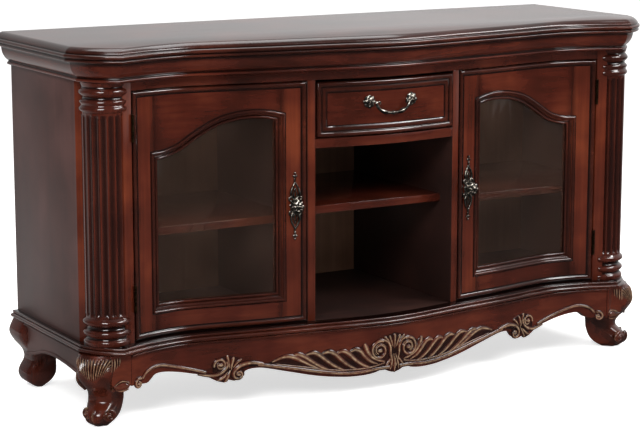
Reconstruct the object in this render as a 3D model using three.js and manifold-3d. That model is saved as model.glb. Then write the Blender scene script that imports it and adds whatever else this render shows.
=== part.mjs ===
// A traditional television stand: a serpentine front between canted, bowed corners, two glazed doors
// with arched openings, one drawer over an open bay with a shelf, fluted corner columns and a carved
// apron on scroll legs. Millimetres, +Z up, +X to the viewer's right, the front faces -Y.
// The origin lies on the floor under the middle of the top.
import * as THREE from "three";
import { mergeVertices } from "three/addons/utils/BufferGeometryUtils.js";
import Module from "manifold-3d";

const wasm = await Module();
wasm.setup();

// Overall sizes
const topWidth = 1524;
const topDepth = 527;
const topHeight = 826;

// Clearances
const seat = 0.3; // between pieces that are seated on each other
const overrun = 6; // how far a cutting tool runs past what it cuts

// Plan of the top's flat
const edgeOut = 20; // the moulded edge stands this far out past the flat
const cornerAcross = 73; // canted corner, across the width
const cornerBack = 88; // canted corner, front to back
const cornerBow = 12; // how far the canted corner bulges past its chord
const curveDepth = 71; // from the middle of the bow back to the deepest hollow
// Share of the half width between the corners, and share of curveDepth behind the middle of the bow
const curveShares = [
  [0, 0], [0.11, 0.07], [0.293, 0.34], [0.493, 0.61], [0.647, 0.88], [0.76, 1], [0.879, 0.83], [1, 0.45],
];

// Heights of the horizontal members
const topThick = 33; // top board, from the flat to the underside of its moulded edge
const corniceHigh = 43;
const baseTop = 178; // ledge of the base moulding and floor of the compartments
const baseHigh = 17;
const topRailHigh = 65.2;
const drawerSpaceHigh = 132.5; // from the drawer rail to the top rail
const drawerRailHigh = 21;
const doorGapBelow = 3;
const doorGapAbove = 2.5;

// Insets from the outline of the top's flat
const faceInset = 34; // doors, drawer and face frame
const sideInset = 18; // outer face of the side panels
const apronInset = 12;

// Boards
const faceThick = 20; // rails and door frames
const sideThick = 18;
const shelfThick = 18;
const backThick = 6;
const backRecess = 4; // the back panel lies this far inside the rear edges
const partitionThick = 18.5;
const bayHalf = 184.5; // half the clear width of the centre bay
const postBack = 40; // from the face of a corner post to its rear, front to back
const stileEndIn = 21.5; // from the corner of the top's flat in to where the flat stile meets the cant
const stileWide = 23.5; // the stile that shows beside the door
const cantEndSet = 152; // where that cant ends on the side panel, behind the middle of the bow
const shelfSetBack = 131; // front edge of the side shelves, behind the middle of the bow
const shelfRise = 220; // from the floor to the underside of a side shelf
const bayShelfSetBack = 106;
const bayShelfRise = 236;

// Doors
const doorHingeGap = 3.2;
const doorLockGap = 3;
const stileHingeWide = 68.8; // hinge stile, from its edge to the opening
const stileLockWide = 70;
const doorRailLowHigh = 70; // bottom rail, from its edge to the opening
const glassThick = 4;
const glassDepth = 11; // from the face of the door to the face of its glass
const rabbet = 8;
const archDown = 155; // from the top of the door to the opening beside the hinge stile
const archRise = 78; // from there to the crown of the arch
// Share of the opening's width from the hinge side, and share of archRise
const archShares = [
  [0, 0], [0.06, 0.02], [0.2, 0.17], [0.37, 0.54], [0.52, 0.82], [0.67, 0.96], [0.82, 1], [0.94, 0.96],
  [1, 0.91],
];
const doorSwing = 105; // degrees, as the record says

// Columns
const columnAlong = 47; // from the end of the stile to the middle of the column, along the cant
const columnSunk = 9; // the axis lies this far inside the cant
const shaftRadius = 47.5;
const fluteCount = 9;
const fluteDepth = 4;

// Plan helpers
const flatHalf = topWidth / 2 - edgeOut;
const frontY = -topDepth / 2 + edgeOut;
const backY = topDepth / 2;
const cornerX = flatHalf - cornerAcross;
const sideX = flatHalf - sideInset;
const caseTop = topHeight - topThick - seat;
const caseLow = baseTop - baseHigh;
const topRailLow = caseTop - topRailHigh;
const drawerRailTop = topRailLow - drawerSpaceHigh;
const doorBottom = baseTop + doorGapBelow;
const doorTop = topRailLow - doorGapAbove;
const shelfLow = baseTop + shelfRise;
const bayShelfLow = baseTop + bayShelfRise;
const stileEnd = cornerX - stileEndIn;
const postInnerX = stileEnd - stileWide;
const doorHingeEdge = postInnerX - doorHingeGap;
const doorLockEdge = bayHalf + partitionThick + doorLockGap;
const glassHinge = doorHingeEdge - stileHingeWide;
const glassLock = doorLockEdge + stileLockWide;
const glassLow = doorBottom + doorRailLowHigh;
const archLow = doorTop - archDown;
const innerBackY = backY - backRecess - backThick;
const innerSideX = sideX - sideThick;

// Smooth curve through [x, y] points, read at one x
function curveThrough(points, x) {
  let k = 0;
  while (k < points.length - 2 && x > points[k + 1][0]) {
    k += 1;
  }
  const slope = (i) => {
    if (i === 0) {
      return 0;
    }
    const after = Math.min(i + 1, points.length - 1);
    return (points[after][1] - points[i - 1][1]) / (points[after][0] - points[i - 1][0]);
  };
  const span = points[k + 1][0] - points[k][0];
  const t = (x - points[k][0]) / span;
  const risen = t * t * (3 - 2 * t);
  const start = t * (1 - t) * (1 - t) * span * slope(k);
  const end = t * t * (t - 1) * span * slope(k + 1);
  return points[k][1] * (1 - risen) + points[k + 1][1] * risen + start + end;
}

// The front is one set of flat facets, so that every piece that follows it meets its neighbours
const frontSteps = 16; // facets from the middle to a corner
const frontStep = cornerX / frontSteps;

function setBack(x) {
  const along = Math.abs(x) / frontStep;
  const k = Math.min(Math.floor(along), frontSteps - 1);
  const near = curveThrough(curveShares, k / frontSteps);
  const far = curveThrough(curveShares, (k + 1) / frontSteps);
  return curveDepth * (near + (far - near) * (along - k));
}

// The Y of a surface that follows the front at an inset from the top's flat
function frontAt(x, inset) {
  return frontY + setBack(x) + inset;
}

function frontSlope(x) {
  return Math.atan2(setBack(x + frontStep) - setBack(x - frontStep), 2 * frontStep);
}

// The cant of the corner runs from the stile to the side panel, and the column stands on it
const meetFace = new THREE.Vector2(stileEnd, frontAt(stileEnd, faceInset));
const meetSide = new THREE.Vector2(sideX, frontY + cantEndSet);
const cantWay = new THREE.Vector2().subVectors(meetSide, meetFace).normalize();
const cantOut = new THREE.Vector2(cantWay.y, -cantWay.x);
const columnAxis = meetFace.clone()
  .addScaledVector(cantWay, columnAlong)
  .addScaledVector(cantOut, -columnSunk);

// Solids
function solid(geometry) {
  const bare = geometry.clone();
  bare.deleteAttribute("normal");
  bare.deleteAttribute("uv");
  const merged = mergeVertices(bare);
  return new wasm.Manifold(new wasm.Mesh({
    numProp: 3,
    vertProperties: new Float32Array(merged.attributes.position.array),
    triVerts: new Uint32Array(merged.index.array),
  }));
}

function surface(manifold) {
  const mesh = manifold.getMesh();
  const geometry = new THREE.BufferGeometry();
  geometry.setAttribute("position", new THREE.BufferAttribute(mesh.vertProperties, 3));
  geometry.setIndex(new THREE.BufferAttribute(mesh.triVerts, 1));
  return geometry;
}

function cut(geometry, ...tools) {
  return surface(tools.reduce((left, tool) => left.subtract(solid(tool)), solid(geometry)));
}

function join(geometry, ...others) {
  return surface(others.reduce((sum, other) => sum.add(solid(other)), solid(geometry)));
}

function common(geometry, other) {
  return surface(solid(geometry).intersect(solid(other)));
}

function flipped(geometry) {
  const index = geometry.index.array;
  for (let i = 0; i < index.length; i += 3) {
    [index[i], index[i + 1]] = [index[i + 1], index[i]];
  }
  return geometry;
}

function signedVolume(geometry) {
  const at = (i) => new THREE.Vector3().fromBufferAttribute(geometry.attributes.position, i);
  const index = geometry.index.array;
  let sum = 0;
  for (let i = 0; i < index.length; i += 3) {
    sum += at(index[i]).dot(at(index[i + 1]).cross(at(index[i + 2])));
  }
  return sum / 6;
}

// The mirror image across the YZ plane
function mirrored(geometry) {
  const copy = geometry.index ? geometry.clone() : mergeVertices(geometry.clone());
  copy.deleteAttribute("normal");
  return flipped(copy.scale(-1, 1, 1));
}

// Triangles that close a ring, turning the way the ring does
function ringCap(ring) {
  const normal = new THREE.Vector3();
  ring.forEach((point, i) => {
    const next = ring[(i + 1) % ring.length];
    normal.add(point.clone().cross(next));
  });
  const size = [Math.abs(normal.x), Math.abs(normal.y), Math.abs(normal.z)];
  const dropped = size.indexOf(Math.max(...size));
  const flat = ring.map((point) => {
    const [x, y, z] = point.toArray();
    return [new THREE.Vector2(y, z), new THREE.Vector2(z, x), new THREE.Vector2(x, y)][dropped];
  });
  const way = Math.sign(THREE.ShapeUtils.area(flat));
  return THREE.ShapeUtils.triangulateShape(flat, []).map(([a, b, c]) => {
    const turn = Math.sign(THREE.ShapeUtils.area([flat[a], flat[b], flat[c]]));
    return turn === way ? [a, b, c] : [a, c, b];
  });
}

// A closed body through rings of equal counts of points, capped at both ends or joined end to end
function loft(rings, endless = false) {
  const count = rings[0].length;
  const index = [];
  const last = endless ? rings.length : rings.length - 1;
  for (let r = 0; r < last; r += 1) {
    const near = r * count;
    const far = ((r + 1) % rings.length) * count;
    for (let i = 0; i < count; i += 1) {
      const j = (i + 1) % count;
      index.push(near + i, near + j, far + j, near + i, far + j, far + i);
    }
  }
  if (!endless) {
    ringCap(rings[0]).forEach(([a, b, c]) => index.push(a, c, b));
    const end = (rings.length - 1) * count;
    ringCap(rings[rings.length - 1]).forEach(([a, b, c]) => index.push(end + a, end + b, end + c));
  }
  const geometry = new THREE.BufferGeometry().setFromPoints(rings.flat());
  geometry.setIndex(index);
  return signedVolume(geometry) < 0 ? flipped(geometry) : geometry;
}

function box(x0, x1, y0, y1, z0, z1) {
  const geometry = new THREE.BoxGeometry(x1 - x0, y1 - y0, z1 - z0);
  return geometry.translate((x0 + x1) / 2, (y0 + y1) / 2, (z0 + z1) / 2);
}

// A board of a plan outline between two heights
function board(outline, z0, z1) {
  const shape = new THREE.Shape(outline);
  const geometry = new THREE.ExtrudeGeometry(shape, { depth: z1 - z0, bevelEnabled: false });
  return geometry.translate(0, 0, z0);
}

// A board of an outline seen from the front, between two Y
function panel(outline, y0, y1) {
  const shape = new THREE.Shape(outline);
  const geometry = new THREE.ExtrudeGeometry(shape, { depth: y1 - y0, bevelEnabled: false });
  return geometry.rotateX(Math.PI / 2).translate(0, y1, 0);
}

// Evenly spaced values between two ends, both included
function steps(from, to, count) {
  return Array.from({ length: count + 1 }, (_, i) => from + ((to - from) * i) / count);
}

// The ends of a stretch of the front and every facet line between them
function stations(x0, x1) {
  const low = Math.min(x0, x1);
  const high = Math.max(x0, x1);
  const all = steps(-cornerX, cornerX, frontSteps * 2);
  const apart = frontStep / frontSteps;
  const inner = all.filter((x) => x > low + apart && x < high - apart);
  return x0 < x1 ? [x0, ...inner, x1] : [x0, ...inner.reverse(), x1];
}

// A bar that follows the front, of a section given for each x as [inset, z] points
function frontBar(x0, x1, section, xs = stations(x0, x1)) {
  return loft(xs.map((x) => section(x).map(([inset, z]) => new THREE.Vector3(x, frontAt(x, inset), z))));
}

function frontSlab(x0, x1, inset, thick, z0, z1) {
  return frontBar(x0, x1, () => [[inset, z0], [inset + thick, z0], [inset + thick, z1], [inset, z1]]);
}

// Finishes
const finish = (color, roughness, metalness = 0) => ({ color, roughness, metalness });
const cherry = finish(0x4a1c12, 0.25);
const darkCherry = finish(0x2e120c, 0.28);
const interior = finish(0x2a150f, 0.6);
const gilt = finish(0x5c3a22, 0.35);
const pewter = finish(0x6d675f, 0.38, 0.9);
const brass = finish(0x5a4a30, 0.4, 0.9);
const plastic = finish(0x33211a, 0.6);
const clear = { color: 0xdfe6e6, roughness: 0.05, metalness: 0, transparent: true, opacity: 0.3 };

const stand = new THREE.Group();

function add(name, geometry, look, parent = stand) {
  const mesh = new THREE.Mesh(geometry, new THREE.MeshStandardMaterial(look));
  mesh.name = name;
  parent.add(mesh);
  return mesh;
}

// The same piece on both sides, drawn on the right
function addPair(left, right, geometry, look) {
  add(right, geometry, look);
  add(left, mirrored(geometry), look);
}

// Outline of the top's flat, from the left rear corner round the front to the right rear corner
const cornerSteps = 5;
const chord = new THREE.Vector2(cornerAcross, cornerBack);
const bowOut = new THREE.Vector2(cornerBack, -cornerAcross).normalize();
const cornerStart = new THREE.Vector2(cornerX, frontAt(cornerX, 0));

function outlineHalf() {
  const points = [];
  stations(0, cornerX).forEach((x) => {
    points.push({ at: new THREE.Vector2(x, frontAt(x, 0)), inward: new THREE.Vector2(0, 1) });
  });
  steps(0, 1, cornerSteps).slice(1).forEach((t) => {
    const bulge = cornerBow * 4 * t * (1 - t);
    const at = cornerStart.clone().addScaledVector(chord, t).addScaledVector(bowOut, bulge);
    const turn = (Math.PI / 2) * t;
    points.push({ at, inward: new THREE.Vector2(-Math.sin(turn), Math.cos(turn)) });
  });
  points.push({ at: new THREE.Vector2(flatHalf, backY), inward: new THREE.Vector2(-1, 0) });
  return points;
}

const smoothJoint = 0.97; // facets that turn less than this cosine share one unit normal

function withMitres(points) {
  return points.map((point, i) => {
    const before = points[Math.max(i - 1, 0)].at;
    const after = points[Math.min(i + 1, points.length - 1)].at;
    const normal = (a, b) => new THREE.Vector2(b.y - a.y, a.x - b.x).normalize();
    const first = i === 0 ? normal(point.at, after) : normal(before, point.at);
    const second = i === points.length - 1 ? first : normal(point.at, after);
    const sharp = first.dot(second) < smoothJoint;
    const sum = first.clone().add(second);
    return { ...point, mitre: sharp ? sum.divideScalar(1 + first.dot(second)) : sum.normalize() };
  });
}

const rightHalf = outlineHalf();
const leftHalf = rightHalf.slice(1).reverse().map(({ at, inward }) => ({
  at: new THREE.Vector2(-at.x, at.y),
  inward: new THREE.Vector2(-inward.x, inward.y),
}));
const outline = withMitres([...leftHalf, ...rightHalf]);
const leftCorner = leftHalf.length - frontSteps;
const rightCorner = leftHalf.length + frontSteps;

function offsetPoint(station, out, z) {
  const at = station.at.clone().addScaledVector(station.mitre, out);
  return new THREE.Vector3(at.x, at.y, z);
}

// Top board: the flat, a thumbnail edge and a double bead on three sides, plain along the back.
// Share of edgeOut, and share of topThick down from the flat
const topEdgeShares = [
  [0, 0], [0.2, 0.036], [0.45, 0.139], [0.675, 0.288], [0.8, 0.424], [0.93, 0.467], [1, 0.564],
  [0.93, 0.679], [0.75, 0.745], [0.82, 0.836], [0.73, 0.952], [0.5, 1],
];
add("top_board", loft(topEdgeShares.map(([out, down]) => outline.map((station) => offsetPoint(
  station, out * edgeOut, topHeight - down * topThick)))), darkCherry);

// The plan of the carcass, grown by a clearance, which the mouldings wrap
function carcass(grow, z0, z1) {
  const right = [
    ...stations(0, stileEnd).map((x) => new THREE.Vector2(x, frontAt(x, faceInset - grow))),
    new THREE.Vector2(meetSide.x + grow, meetSide.y - grow),
    new THREE.Vector2(sideX + grow, backY + overrun),
  ];
  const left = right.slice(1).reverse().map(({ x, y }) => new THREE.Vector2(-x, y));
  return board([...left, ...right], z0, z1);
}

// A moulding round the carcass. Its face is given in shares of its height, and
// its back is cut to the carcass.
const mouldingReach = 62; // raw depth of a moulding before it is fitted
const mitreGap = 0.2;

function moulding(name, faceShares, top, high, look) {
  const pieces = [
    ["left", 0, leftCorner], ["front", leftCorner, rightCorner], ["right", rightCorner, outline.length - 1],
  ];
  const core = carcass(seat, top - high - overrun, top + overrun);
  pieces.forEach(([part, from, to]) => {
    const run = outline.slice(from, to + 1);
    const rings = run.map((station, i) => {
      const shifted = { ...station, at: station.at.clone() };
      if (part === "front" && (i === 0 || i === run.length - 1)) {
        shifted.at.x -= Math.sign(station.at.x) * mitreGap;
      }
      const ring = faceShares.map(([out, down]) => offsetPoint(shifted, out * high, top - down * high));
      const back = shifted.at.clone().addScaledVector(station.inward, mouldingReach);
      ring.push(new THREE.Vector3(back.x, back.y, top - high), new THREE.Vector3(back.x, back.y, top));
      return ring;
    });
    add(`${name}_${part}`, cut(loft(rings), core), look);
  });
}

// Cornice under the top: a cove that steps in to the carcass, with a bead at its foot.
// Out from the outline and down from the top, as shares of corniceHigh
const corniceShares = [
  [0.14, 0], [0.107, 0.051], [0.093, 0.186], [0.056, 0.349], [-0.023, 0.512], [-0.14, 0.663],
  [-0.288, 0.779], [-0.279, 0.814], [-0.219, 0.851], [-0.191, 0.907], [-0.219, 0.967], [-0.288, 1],
];
moulding("cornice", corniceShares, topHeight - topThick - seat, corniceHigh, cherry);

// Base moulding: a ledge that the columns stand on, a small bead and a half round.
// Out from the outline and down from the ledge, as shares of baseHigh
const baseFaceShares = [
  [-0.494, 0], [-0.341, 0.059], [-0.294, 0.188], [-0.353, 0.306], [-0.471, 0.353], [-0.271, 0.4],
  [-0.071, 0.518], [0, 0.671], [-0.059, 0.835], [-0.247, 0.965], [-0.435, 1],
];
moulding("base_moulding", baseFaceShares, baseTop, baseHigh, darkCherry);

// Side panels, from the columns to the rear
addPair("side_panel_left", "side_panel_right",
  box(innerSideX, sideX, meetSide.y + seat, backY, caseLow, caseTop), cherry);

// Corner posts: each shows a flat stile beside the door and carries the half column on its cant
const cantSlope = (meetSide.y - meetFace.y) / (meetSide.x - meetFace.x);
const postEndX = innerSideX - seat;
const postRear = (grow) => [
  new THREE.Vector2(postInnerX - grow, meetFace.y + postBack + grow),
  new THREE.Vector2(stileEnd, meetFace.y + postBack + grow),
  new THREE.Vector2(postEndX, meetFace.y + (postEndX - stileEnd) * cantSlope + postBack + grow),
];
const postOutline = [
  new THREE.Vector2(postInnerX, frontAt(postInnerX, faceInset)),
  meetFace,
  meetSide,
  new THREE.Vector2(innerSideX - seat, meetSide.y),
  ...postRear(0).reverse(),
];
addPair("corner_post_left", "corner_post_right", board(postOutline, caseLow, caseTop), cherry);

// Columns: a fluted shaft between turned rings, flat behind
const baseRingsHigh = 60;
const capitalHigh = 64.5;
const columnLow = baseTop + seat;
const columnHigh = topHeight - topThick - seat - corniceHigh - seat;
// Share of the height of the rings from their outer end, and share of shaftRadius
const baseRingShares = [
  [0, 1.095], [0.1, 1.116], [0.167, 1.095], [0.217, 1.011], [0.283, 0.981], [0.333, 1.044],
  [0.392, 1.116], [0.475, 1.124], [0.533, 1.065], [0.583, 0.958], [0.65, 0.926], [0.708, 0.968],
  [0.75, 1.074], [0.817, 1.145], [0.9, 1.124], [0.958, 1.053], [1, 1],
];
const capitalRingShares = [
  [0, 1.053], [0.109, 1.023], [0.163, 0.981], [0.225, 1.061], [0.295, 1.124], [0.372, 1.116],
  [0.434, 1.044], [0.488, 0.968], [0.543, 0.981], [0.589, 1.065], [0.651, 1.107], [0.713, 1.065],
  [0.76, 1.023], [0.814, 1.086], [0.884, 1.128], [0.953, 1.086], [1, 1],
];
const fluteTopGap = 4; // plain neck between a ring and the end of a flute
const fluteEnd = 7; // length of the rounded end of a flute
const columnSides = 24;

function turned(ringShares, high, from, way) {
  const points = ringShares.map(([along, radius]) => (
    new THREE.Vector2(radius * shaftRadius, from + way * along * high)
  ));
  const closing = new THREE.Vector2(0, points[points.length - 1].y);
  const profile = [new THREE.Vector2(0, points[0].y), ...points, closing];
  if (way < 0) {
    profile.reverse();
  }
  return new THREE.LatheGeometry(profile, columnSides).rotateX(Math.PI / 2);
}

// Flute outline over one pitch: share of the pitch, share of the depth
const fluteShares = [[0.1, 0], [0.24, 0.62], [0.4, 0.95], [0.6, 0.95], [0.76, 0.62], [0.9, 0]];
const chordWay = cantWay.angle();

function shaftRing(z, share) {
  const ring = [];
  const pitch = Math.PI / fluteCount;
  for (let flute = 0; flute < fluteCount; flute += 1) {
    fluteShares.forEach(([along, deep]) => {
      const angle = chordWay + Math.PI + (flute + along) * pitch;
      const radius = shaftRadius - fluteDepth * deep * share;
      const at = [columnAxis.x + radius * Math.cos(angle), columnAxis.y + radius * Math.sin(angle)];
      ring.push(new THREE.Vector3(at[0], at[1], z));
    });
  }
  const hidden = 4;
  for (let i = 1; i < hidden; i += 1) {
    const angle = chordWay + (i * Math.PI) / hidden;
    const at = [columnAxis.x + shaftRadius * Math.cos(angle), columnAxis.y + shaftRadius * Math.sin(angle)];
    ring.push(new THREE.Vector3(at[0], at[1], z));
  }
  return ring;
}

const shaftLow = columnLow + baseRingsHigh;
const shaftHigh = columnHigh - capitalHigh;
const shaftRings = [
  [shaftLow - seat, 0], [shaftLow + fluteTopGap, 0], [shaftLow + fluteTopGap + fluteEnd, 1],
  [shaftHigh - fluteTopGap - fluteEnd, 1], [shaftHigh - fluteTopGap, 0], [shaftHigh + seat, 0],
].map(([z, share]) => shaftRing(z, share));
const turnedBase = turned(baseRingShares, baseRingsHigh, columnLow, 1)
  .translate(columnAxis.x, columnAxis.y, 0);
const turnedCapital = turned(capitalRingShares, capitalHigh, columnHigh, -1)
  .translate(columnAxis.x, columnAxis.y, 0);

// The space behind the column's flat back
function behindColumn(grow) {
  const reach = shaftRadius * 3;
  const corners = [[-reach, grow], [reach * 2, grow], [reach * 2, -reach], [-reach, -reach]];
  const outlineOfCut = corners.map(([along, out]) => meetFace.clone()
    .addScaledVector(cantWay, along).addScaledVector(cantOut, out));
  return board(outlineOfCut, columnLow - overrun, columnHigh + overrun);
}

const column = cut(join(loft(shaftRings), turnedBase, turnedCapital), behindColumn(seat));
addPair("column_left", "column_right", column, cherry);

// Deck: the floor of all three compartments
function deckOutline() {
  const right = [
    ...stations(0, postInnerX - seat).map((x) => new THREE.Vector2(x, frontAt(x, faceInset))),
    ...postRear(seat),
    new THREE.Vector2(innerSideX - seat, innerBackY - seat),
  ];
  const left = right.slice(1).reverse().map(({ x, y }) => new THREE.Vector2(-x, y));
  return [...left, ...right];
}
add("deck_board", board(deckOutline(), caseLow, baseTop), interior);

// Back panel with a round cable hole in each space
const cableHole = 56;
const cableSides = 16;
const cableHigh = 108; // centre of a cable hole above the floor of its space
const spaceCentreX = (bayHalf + partitionThick + innerSideX) / 2;
const cablePlaces = [
  [-spaceCentreX, baseTop], [spaceCentreX, baseTop], [0, baseTop], [0, bayShelfLow + shelfThick],
];
const cableTools = cablePlaces.map(([x, floor]) => new THREE.CylinderGeometry(
  cableHole / 2, cableHole / 2, backThick + overrun * 2, cableSides)
  .translate(x, innerBackY + backThick / 2, floor + cableHigh));
const backBoard = box(-innerSideX + seat, innerSideX - seat, innerBackY, innerBackY + backThick,
  caseLow, caseTop);
add("back_panel", cut(backBoard, ...cableTools), interior);

// Partitions: their front edges show as the stiles on both sides of the bay
const partitionX = bayHalf + partitionThick;
const partitionFront = [
  ...steps(bayHalf, partitionX, 1).map((x) => new THREE.Vector2(x, frontAt(x, faceInset))),
  new THREE.Vector2(partitionX, innerBackY - seat),
  new THREE.Vector2(bayHalf, innerBackY - seat),
];
addPair("partition_left", "partition_right",
  board(partitionFront, baseTop + seat, topRailLow - seat), cherry);

// Rails of the face frame
add("top_rail", frontSlab(-postInnerX + seat, postInnerX - seat, faceInset, faceThick,
  topRailLow, caseTop), cherry);
add("drawer_rail", frontSlab(-bayHalf + seat, bayHalf - seat, faceInset, faceThick,
  drawerRailTop - drawerRailHigh, drawerRailTop), cherry);

// Shelves, let into the uprights
const shelfFrontY = frontY + shelfSetBack;
const postRearStart = postRear(seat * 2)[1];
const sideShelf = [
  new THREE.Vector2(partitionX + seat, shelfFrontY),
  new THREE.Vector2(stileEnd + (shelfFrontY - postRearStart.y) / cantSlope, shelfFrontY),
  postRear(seat * 2)[2],
  new THREE.Vector2(innerSideX - seat, innerBackY - seat),
  new THREE.Vector2(partitionX + seat, innerBackY - seat),
];
addPair("shelf_left", "shelf_right", board(sideShelf, shelfLow, shelfLow + shelfThick), cherry);
add("shelf_centre", box(-bayHalf + seat, bayHalf - seat, frontY + bayShelfSetBack, innerBackY - seat,
  bayShelfLow, bayShelfLow + shelfThick), cherry);

// Doors, drawn on the right: outline of the glazed opening, grown by a rabbet
const archSteps = 14;

function opening(grow) {
  const wide = glassHinge - glassLock;
  const crown = steps(0, 1, archSteps).map((t) => new THREE.Vector2(
    glassHinge + grow - (wide + 2 * grow) * t, archLow + grow + archRise * curveThrough(archShares, t)));
  return [
    ...crown,
    new THREE.Vector2(glassLock - grow, glassLow - grow),
    new THREE.Vector2(glassHinge + grow, glassLow - grow),
  ];
}

const doorReach = topDepth / 2; // the panels that shape a door run this far in Y
function throughDoor(grow) {
  return panel(opening(grow), frontY - doorReach, frontY + doorReach);
}

// A door part between two depths behind the face, inside a grown opening
function glazingLayer(grow, depth, thick) {
  return common(frontSlab(glassLock - rabbet * 2, glassHinge + rabbet * 2, faceInset + depth, thick,
    glassLow - rabbet * 2, archLow + archRise + rabbet * 2), throughDoor(grow));
}

// A raised moulding round the opening and a bead round the edge of the door, in
// shares of their widths, out from the line and back from the face
const mouldWide = 22;
const rimWide = 10;
const openingBeadShares = [
  [0, 0.491], [0, 0.391], [0.118, 0.364], [0.182, 0.227], [0.364, 0.164], [0.518, 0.027], [0.591, -0.1],
  [0.727, -0.155], [0.882, -0.109], [1, 0.064], [1, 0.491],
];
const rimBeadShares = [
  [-1, 0.3], [-1, 0.06], [-0.8, -0.14], [-0.5, -0.26], [-0.2, -0.22], [0, 0], [0, 0.3],
];

// A moulding round a closed outline that lies on the curved front. Facet lines nearer to a corner than the
// moulding is wide are left out, so that its mitres do not cross them.
function beadRound(points, profileShares, wide, inset) {
  const loop = [];
  points.forEach((point, i) => {
    const next = points[(i + 1) % points.length];
    const across = next.x - point.x;
    const clearOf = (x, corner) => Math.abs(x - corner.x) > wide;
    const inner = stations(point.x, next.x).slice(1, -1).filter((x) => clearOf(x, point) && clearOf(x, next));
    [0, ...inner.map((x) => (x - point.x) / across)].forEach((t) => loop.push(point.clone().lerp(next, t)));
  });
  const turn = THREE.ShapeUtils.isClockWise(loop) ? -1 : 1;
  const rings = loop.map((point, i) => {
    const before = loop[(i + loop.length - 1) % loop.length];
    const after = loop[(i + 1) % loop.length];
    const normal = (a, b) => new THREE.Vector2((b.y - a.y) * turn, (a.x - b.x) * turn).normalize();
    const first = normal(before, point);
    const second = normal(point, after);
    const mitre = first.clone().add(second).divideScalar(1 + first.dot(second));
    return profileShares.map(([outShare, depthShare]) => {
      const out = outShare * wide;
      const x = point.x + mitre.x * out;
      return new THREE.Vector3(x, frontAt(x, inset + depthShare * wide), point.y + mitre.y * out);
    });
  });
  return loft(rings, true);
}

const doorEdge = [
  new THREE.Vector2(doorLockEdge, doorBottom), new THREE.Vector2(doorHingeEdge, doorBottom),
  new THREE.Vector2(doorHingeEdge, doorTop), new THREE.Vector2(doorLockEdge, doorTop),
];
const doorSlab = frontSlab(doorLockEdge, doorHingeEdge, faceInset, faceThick, doorBottom, doorTop);
const rabbetCut = glazingLayer(rabbet, glassDepth, faceThick);
const doorFrame = join(cut(doorSlab, throughDoor(mouldWide / 2), rabbetCut),
  beadRound(opening(0), openingBeadShares, mouldWide, faceInset),
  beadRound(doorEdge, rimBeadShares, rimWide, faceInset));
addPair("door_left_frame", "door_right_frame", doorFrame, cherry);
const glass = glazingLayer(rabbet - seat, glassDepth + seat, glassThick);
addPair("door_left_glass", "door_right_glass", glass, clear);
const retainerDepth = glassDepth + glassThick + seat * 2;
const retainer = cut(glazingLayer(rabbet - seat, retainerDepth, faceThick - retainerDepth), throughDoor(0));
addPair("door_left_glass_retainer", "door_right_glass_retainer", retainer, darkCherry);

// Butt hinges: five knuckles proud of the face, leaves in the gap between door and post
const knuckleRadius = 3.1;
const pinRadius = 1.4;
const boreRadius = 1.75;
const hingeLong = 60;
const knuckles = 5;
const knuckleGap = 0.3;
const leafThick = 1.1;
const leafDeep = 17;
const leafOffset = 0.25; // from the plane of the pin to the near side of each leaf
const knuckleSides = 8;
const hingeX = doorHingeEdge + doorHingeGap / 2;
const hingeY = frontAt(hingeX, faceInset) - knuckleRadius - seat;
const hingeLowSet = 93; // from the foot of the door to the middle of the lower hinge
const hingeHighSet = 77; // from the top of the door to the middle of the upper hinge
const hingeLowCentre = doorBottom + hingeLowSet;
const hingeHighCentre = doorTop - hingeHighSet;

function hingeLeaf(side, first, centre) {
  const each = hingeLong / knuckles;
  const low = centre - hingeLong / 2;
  const leafStart = knuckleRadius + seat;
  const near = side * leafOffset;
  const far = side * (leafOffset + leafThick);
  const slab = (y0, y1, z0, z1) => box(Math.min(near, far), Math.max(near, far), y0, y1, z0, z1);
  const pieces = [slab(leafStart, leafStart + leafDeep, low, low + hingeLong)];
  for (let k = first; k < knuckles; k += 2) {
    const z0 = low + k * each + (k > 0 ? knuckleGap / 2 : 0);
    const z1 = low + (k + 1) * each - (k < knuckles - 1 ? knuckleGap / 2 : 0);
    const barrel = new THREE.CylinderGeometry(knuckleRadius, knuckleRadius, z1 - z0, knuckleSides);
    pieces.push(barrel.rotateX(Math.PI / 2).translate(0, 0, (z0 + z1) / 2));
    pieces.push(slab(boreRadius + seat, leafStart + seat, z0, z1));
  }
  const rod = (radius, long) => new THREE.CylinderGeometry(radius, radius, long, knuckleSides)
    .rotateX(Math.PI / 2).translate(0, 0, centre);
  const leaf = join(...pieces);
  const pinned = () => join(leaf, rod(pinRadius, hingeLong));
  const bored = () => cut(leaf, rod(boreRadius, hingeLong + overrun));
  return (first === 0 ? pinned() : bored()).translate(hingeX, hingeY, 0);
}

[["lower", hingeLowCentre], ["upper", hingeHighCentre]].forEach(([place, centre]) => {
  const left = `hinge_left_${place}`;
  const right = `hinge_right_${place}`;
  addPair(`${left}_frame_leaf`, `${right}_frame_leaf`, hingeLeaf(1, 0, centre), brass);
  addPair(`${left}_door_leaf`, `${right}_door_leaf`, hingeLeaf(-1, 1, centre), brass);
});

// Magnetic catches behind the lock stiles, fixed to the partitions
const catchWide = 14;
const catchDeep = 22;
const catchHigh = 46;
const catchSet = 65; // from the top of the door to the middle of a catch
const catchCentre = doorTop - catchSet;
const catchFrontY = frontAt(doorLockEdge + catchWide, faceInset + faceThick) + seat;
addPair("door_catch_left", "door_catch_right", box(partitionX + seat, partitionX + catchWide, catchFrontY,
  catchFrontY + catchDeep, catchCentre - catchHigh / 2, catchCentre + catchHigh / 2), plastic);

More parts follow.
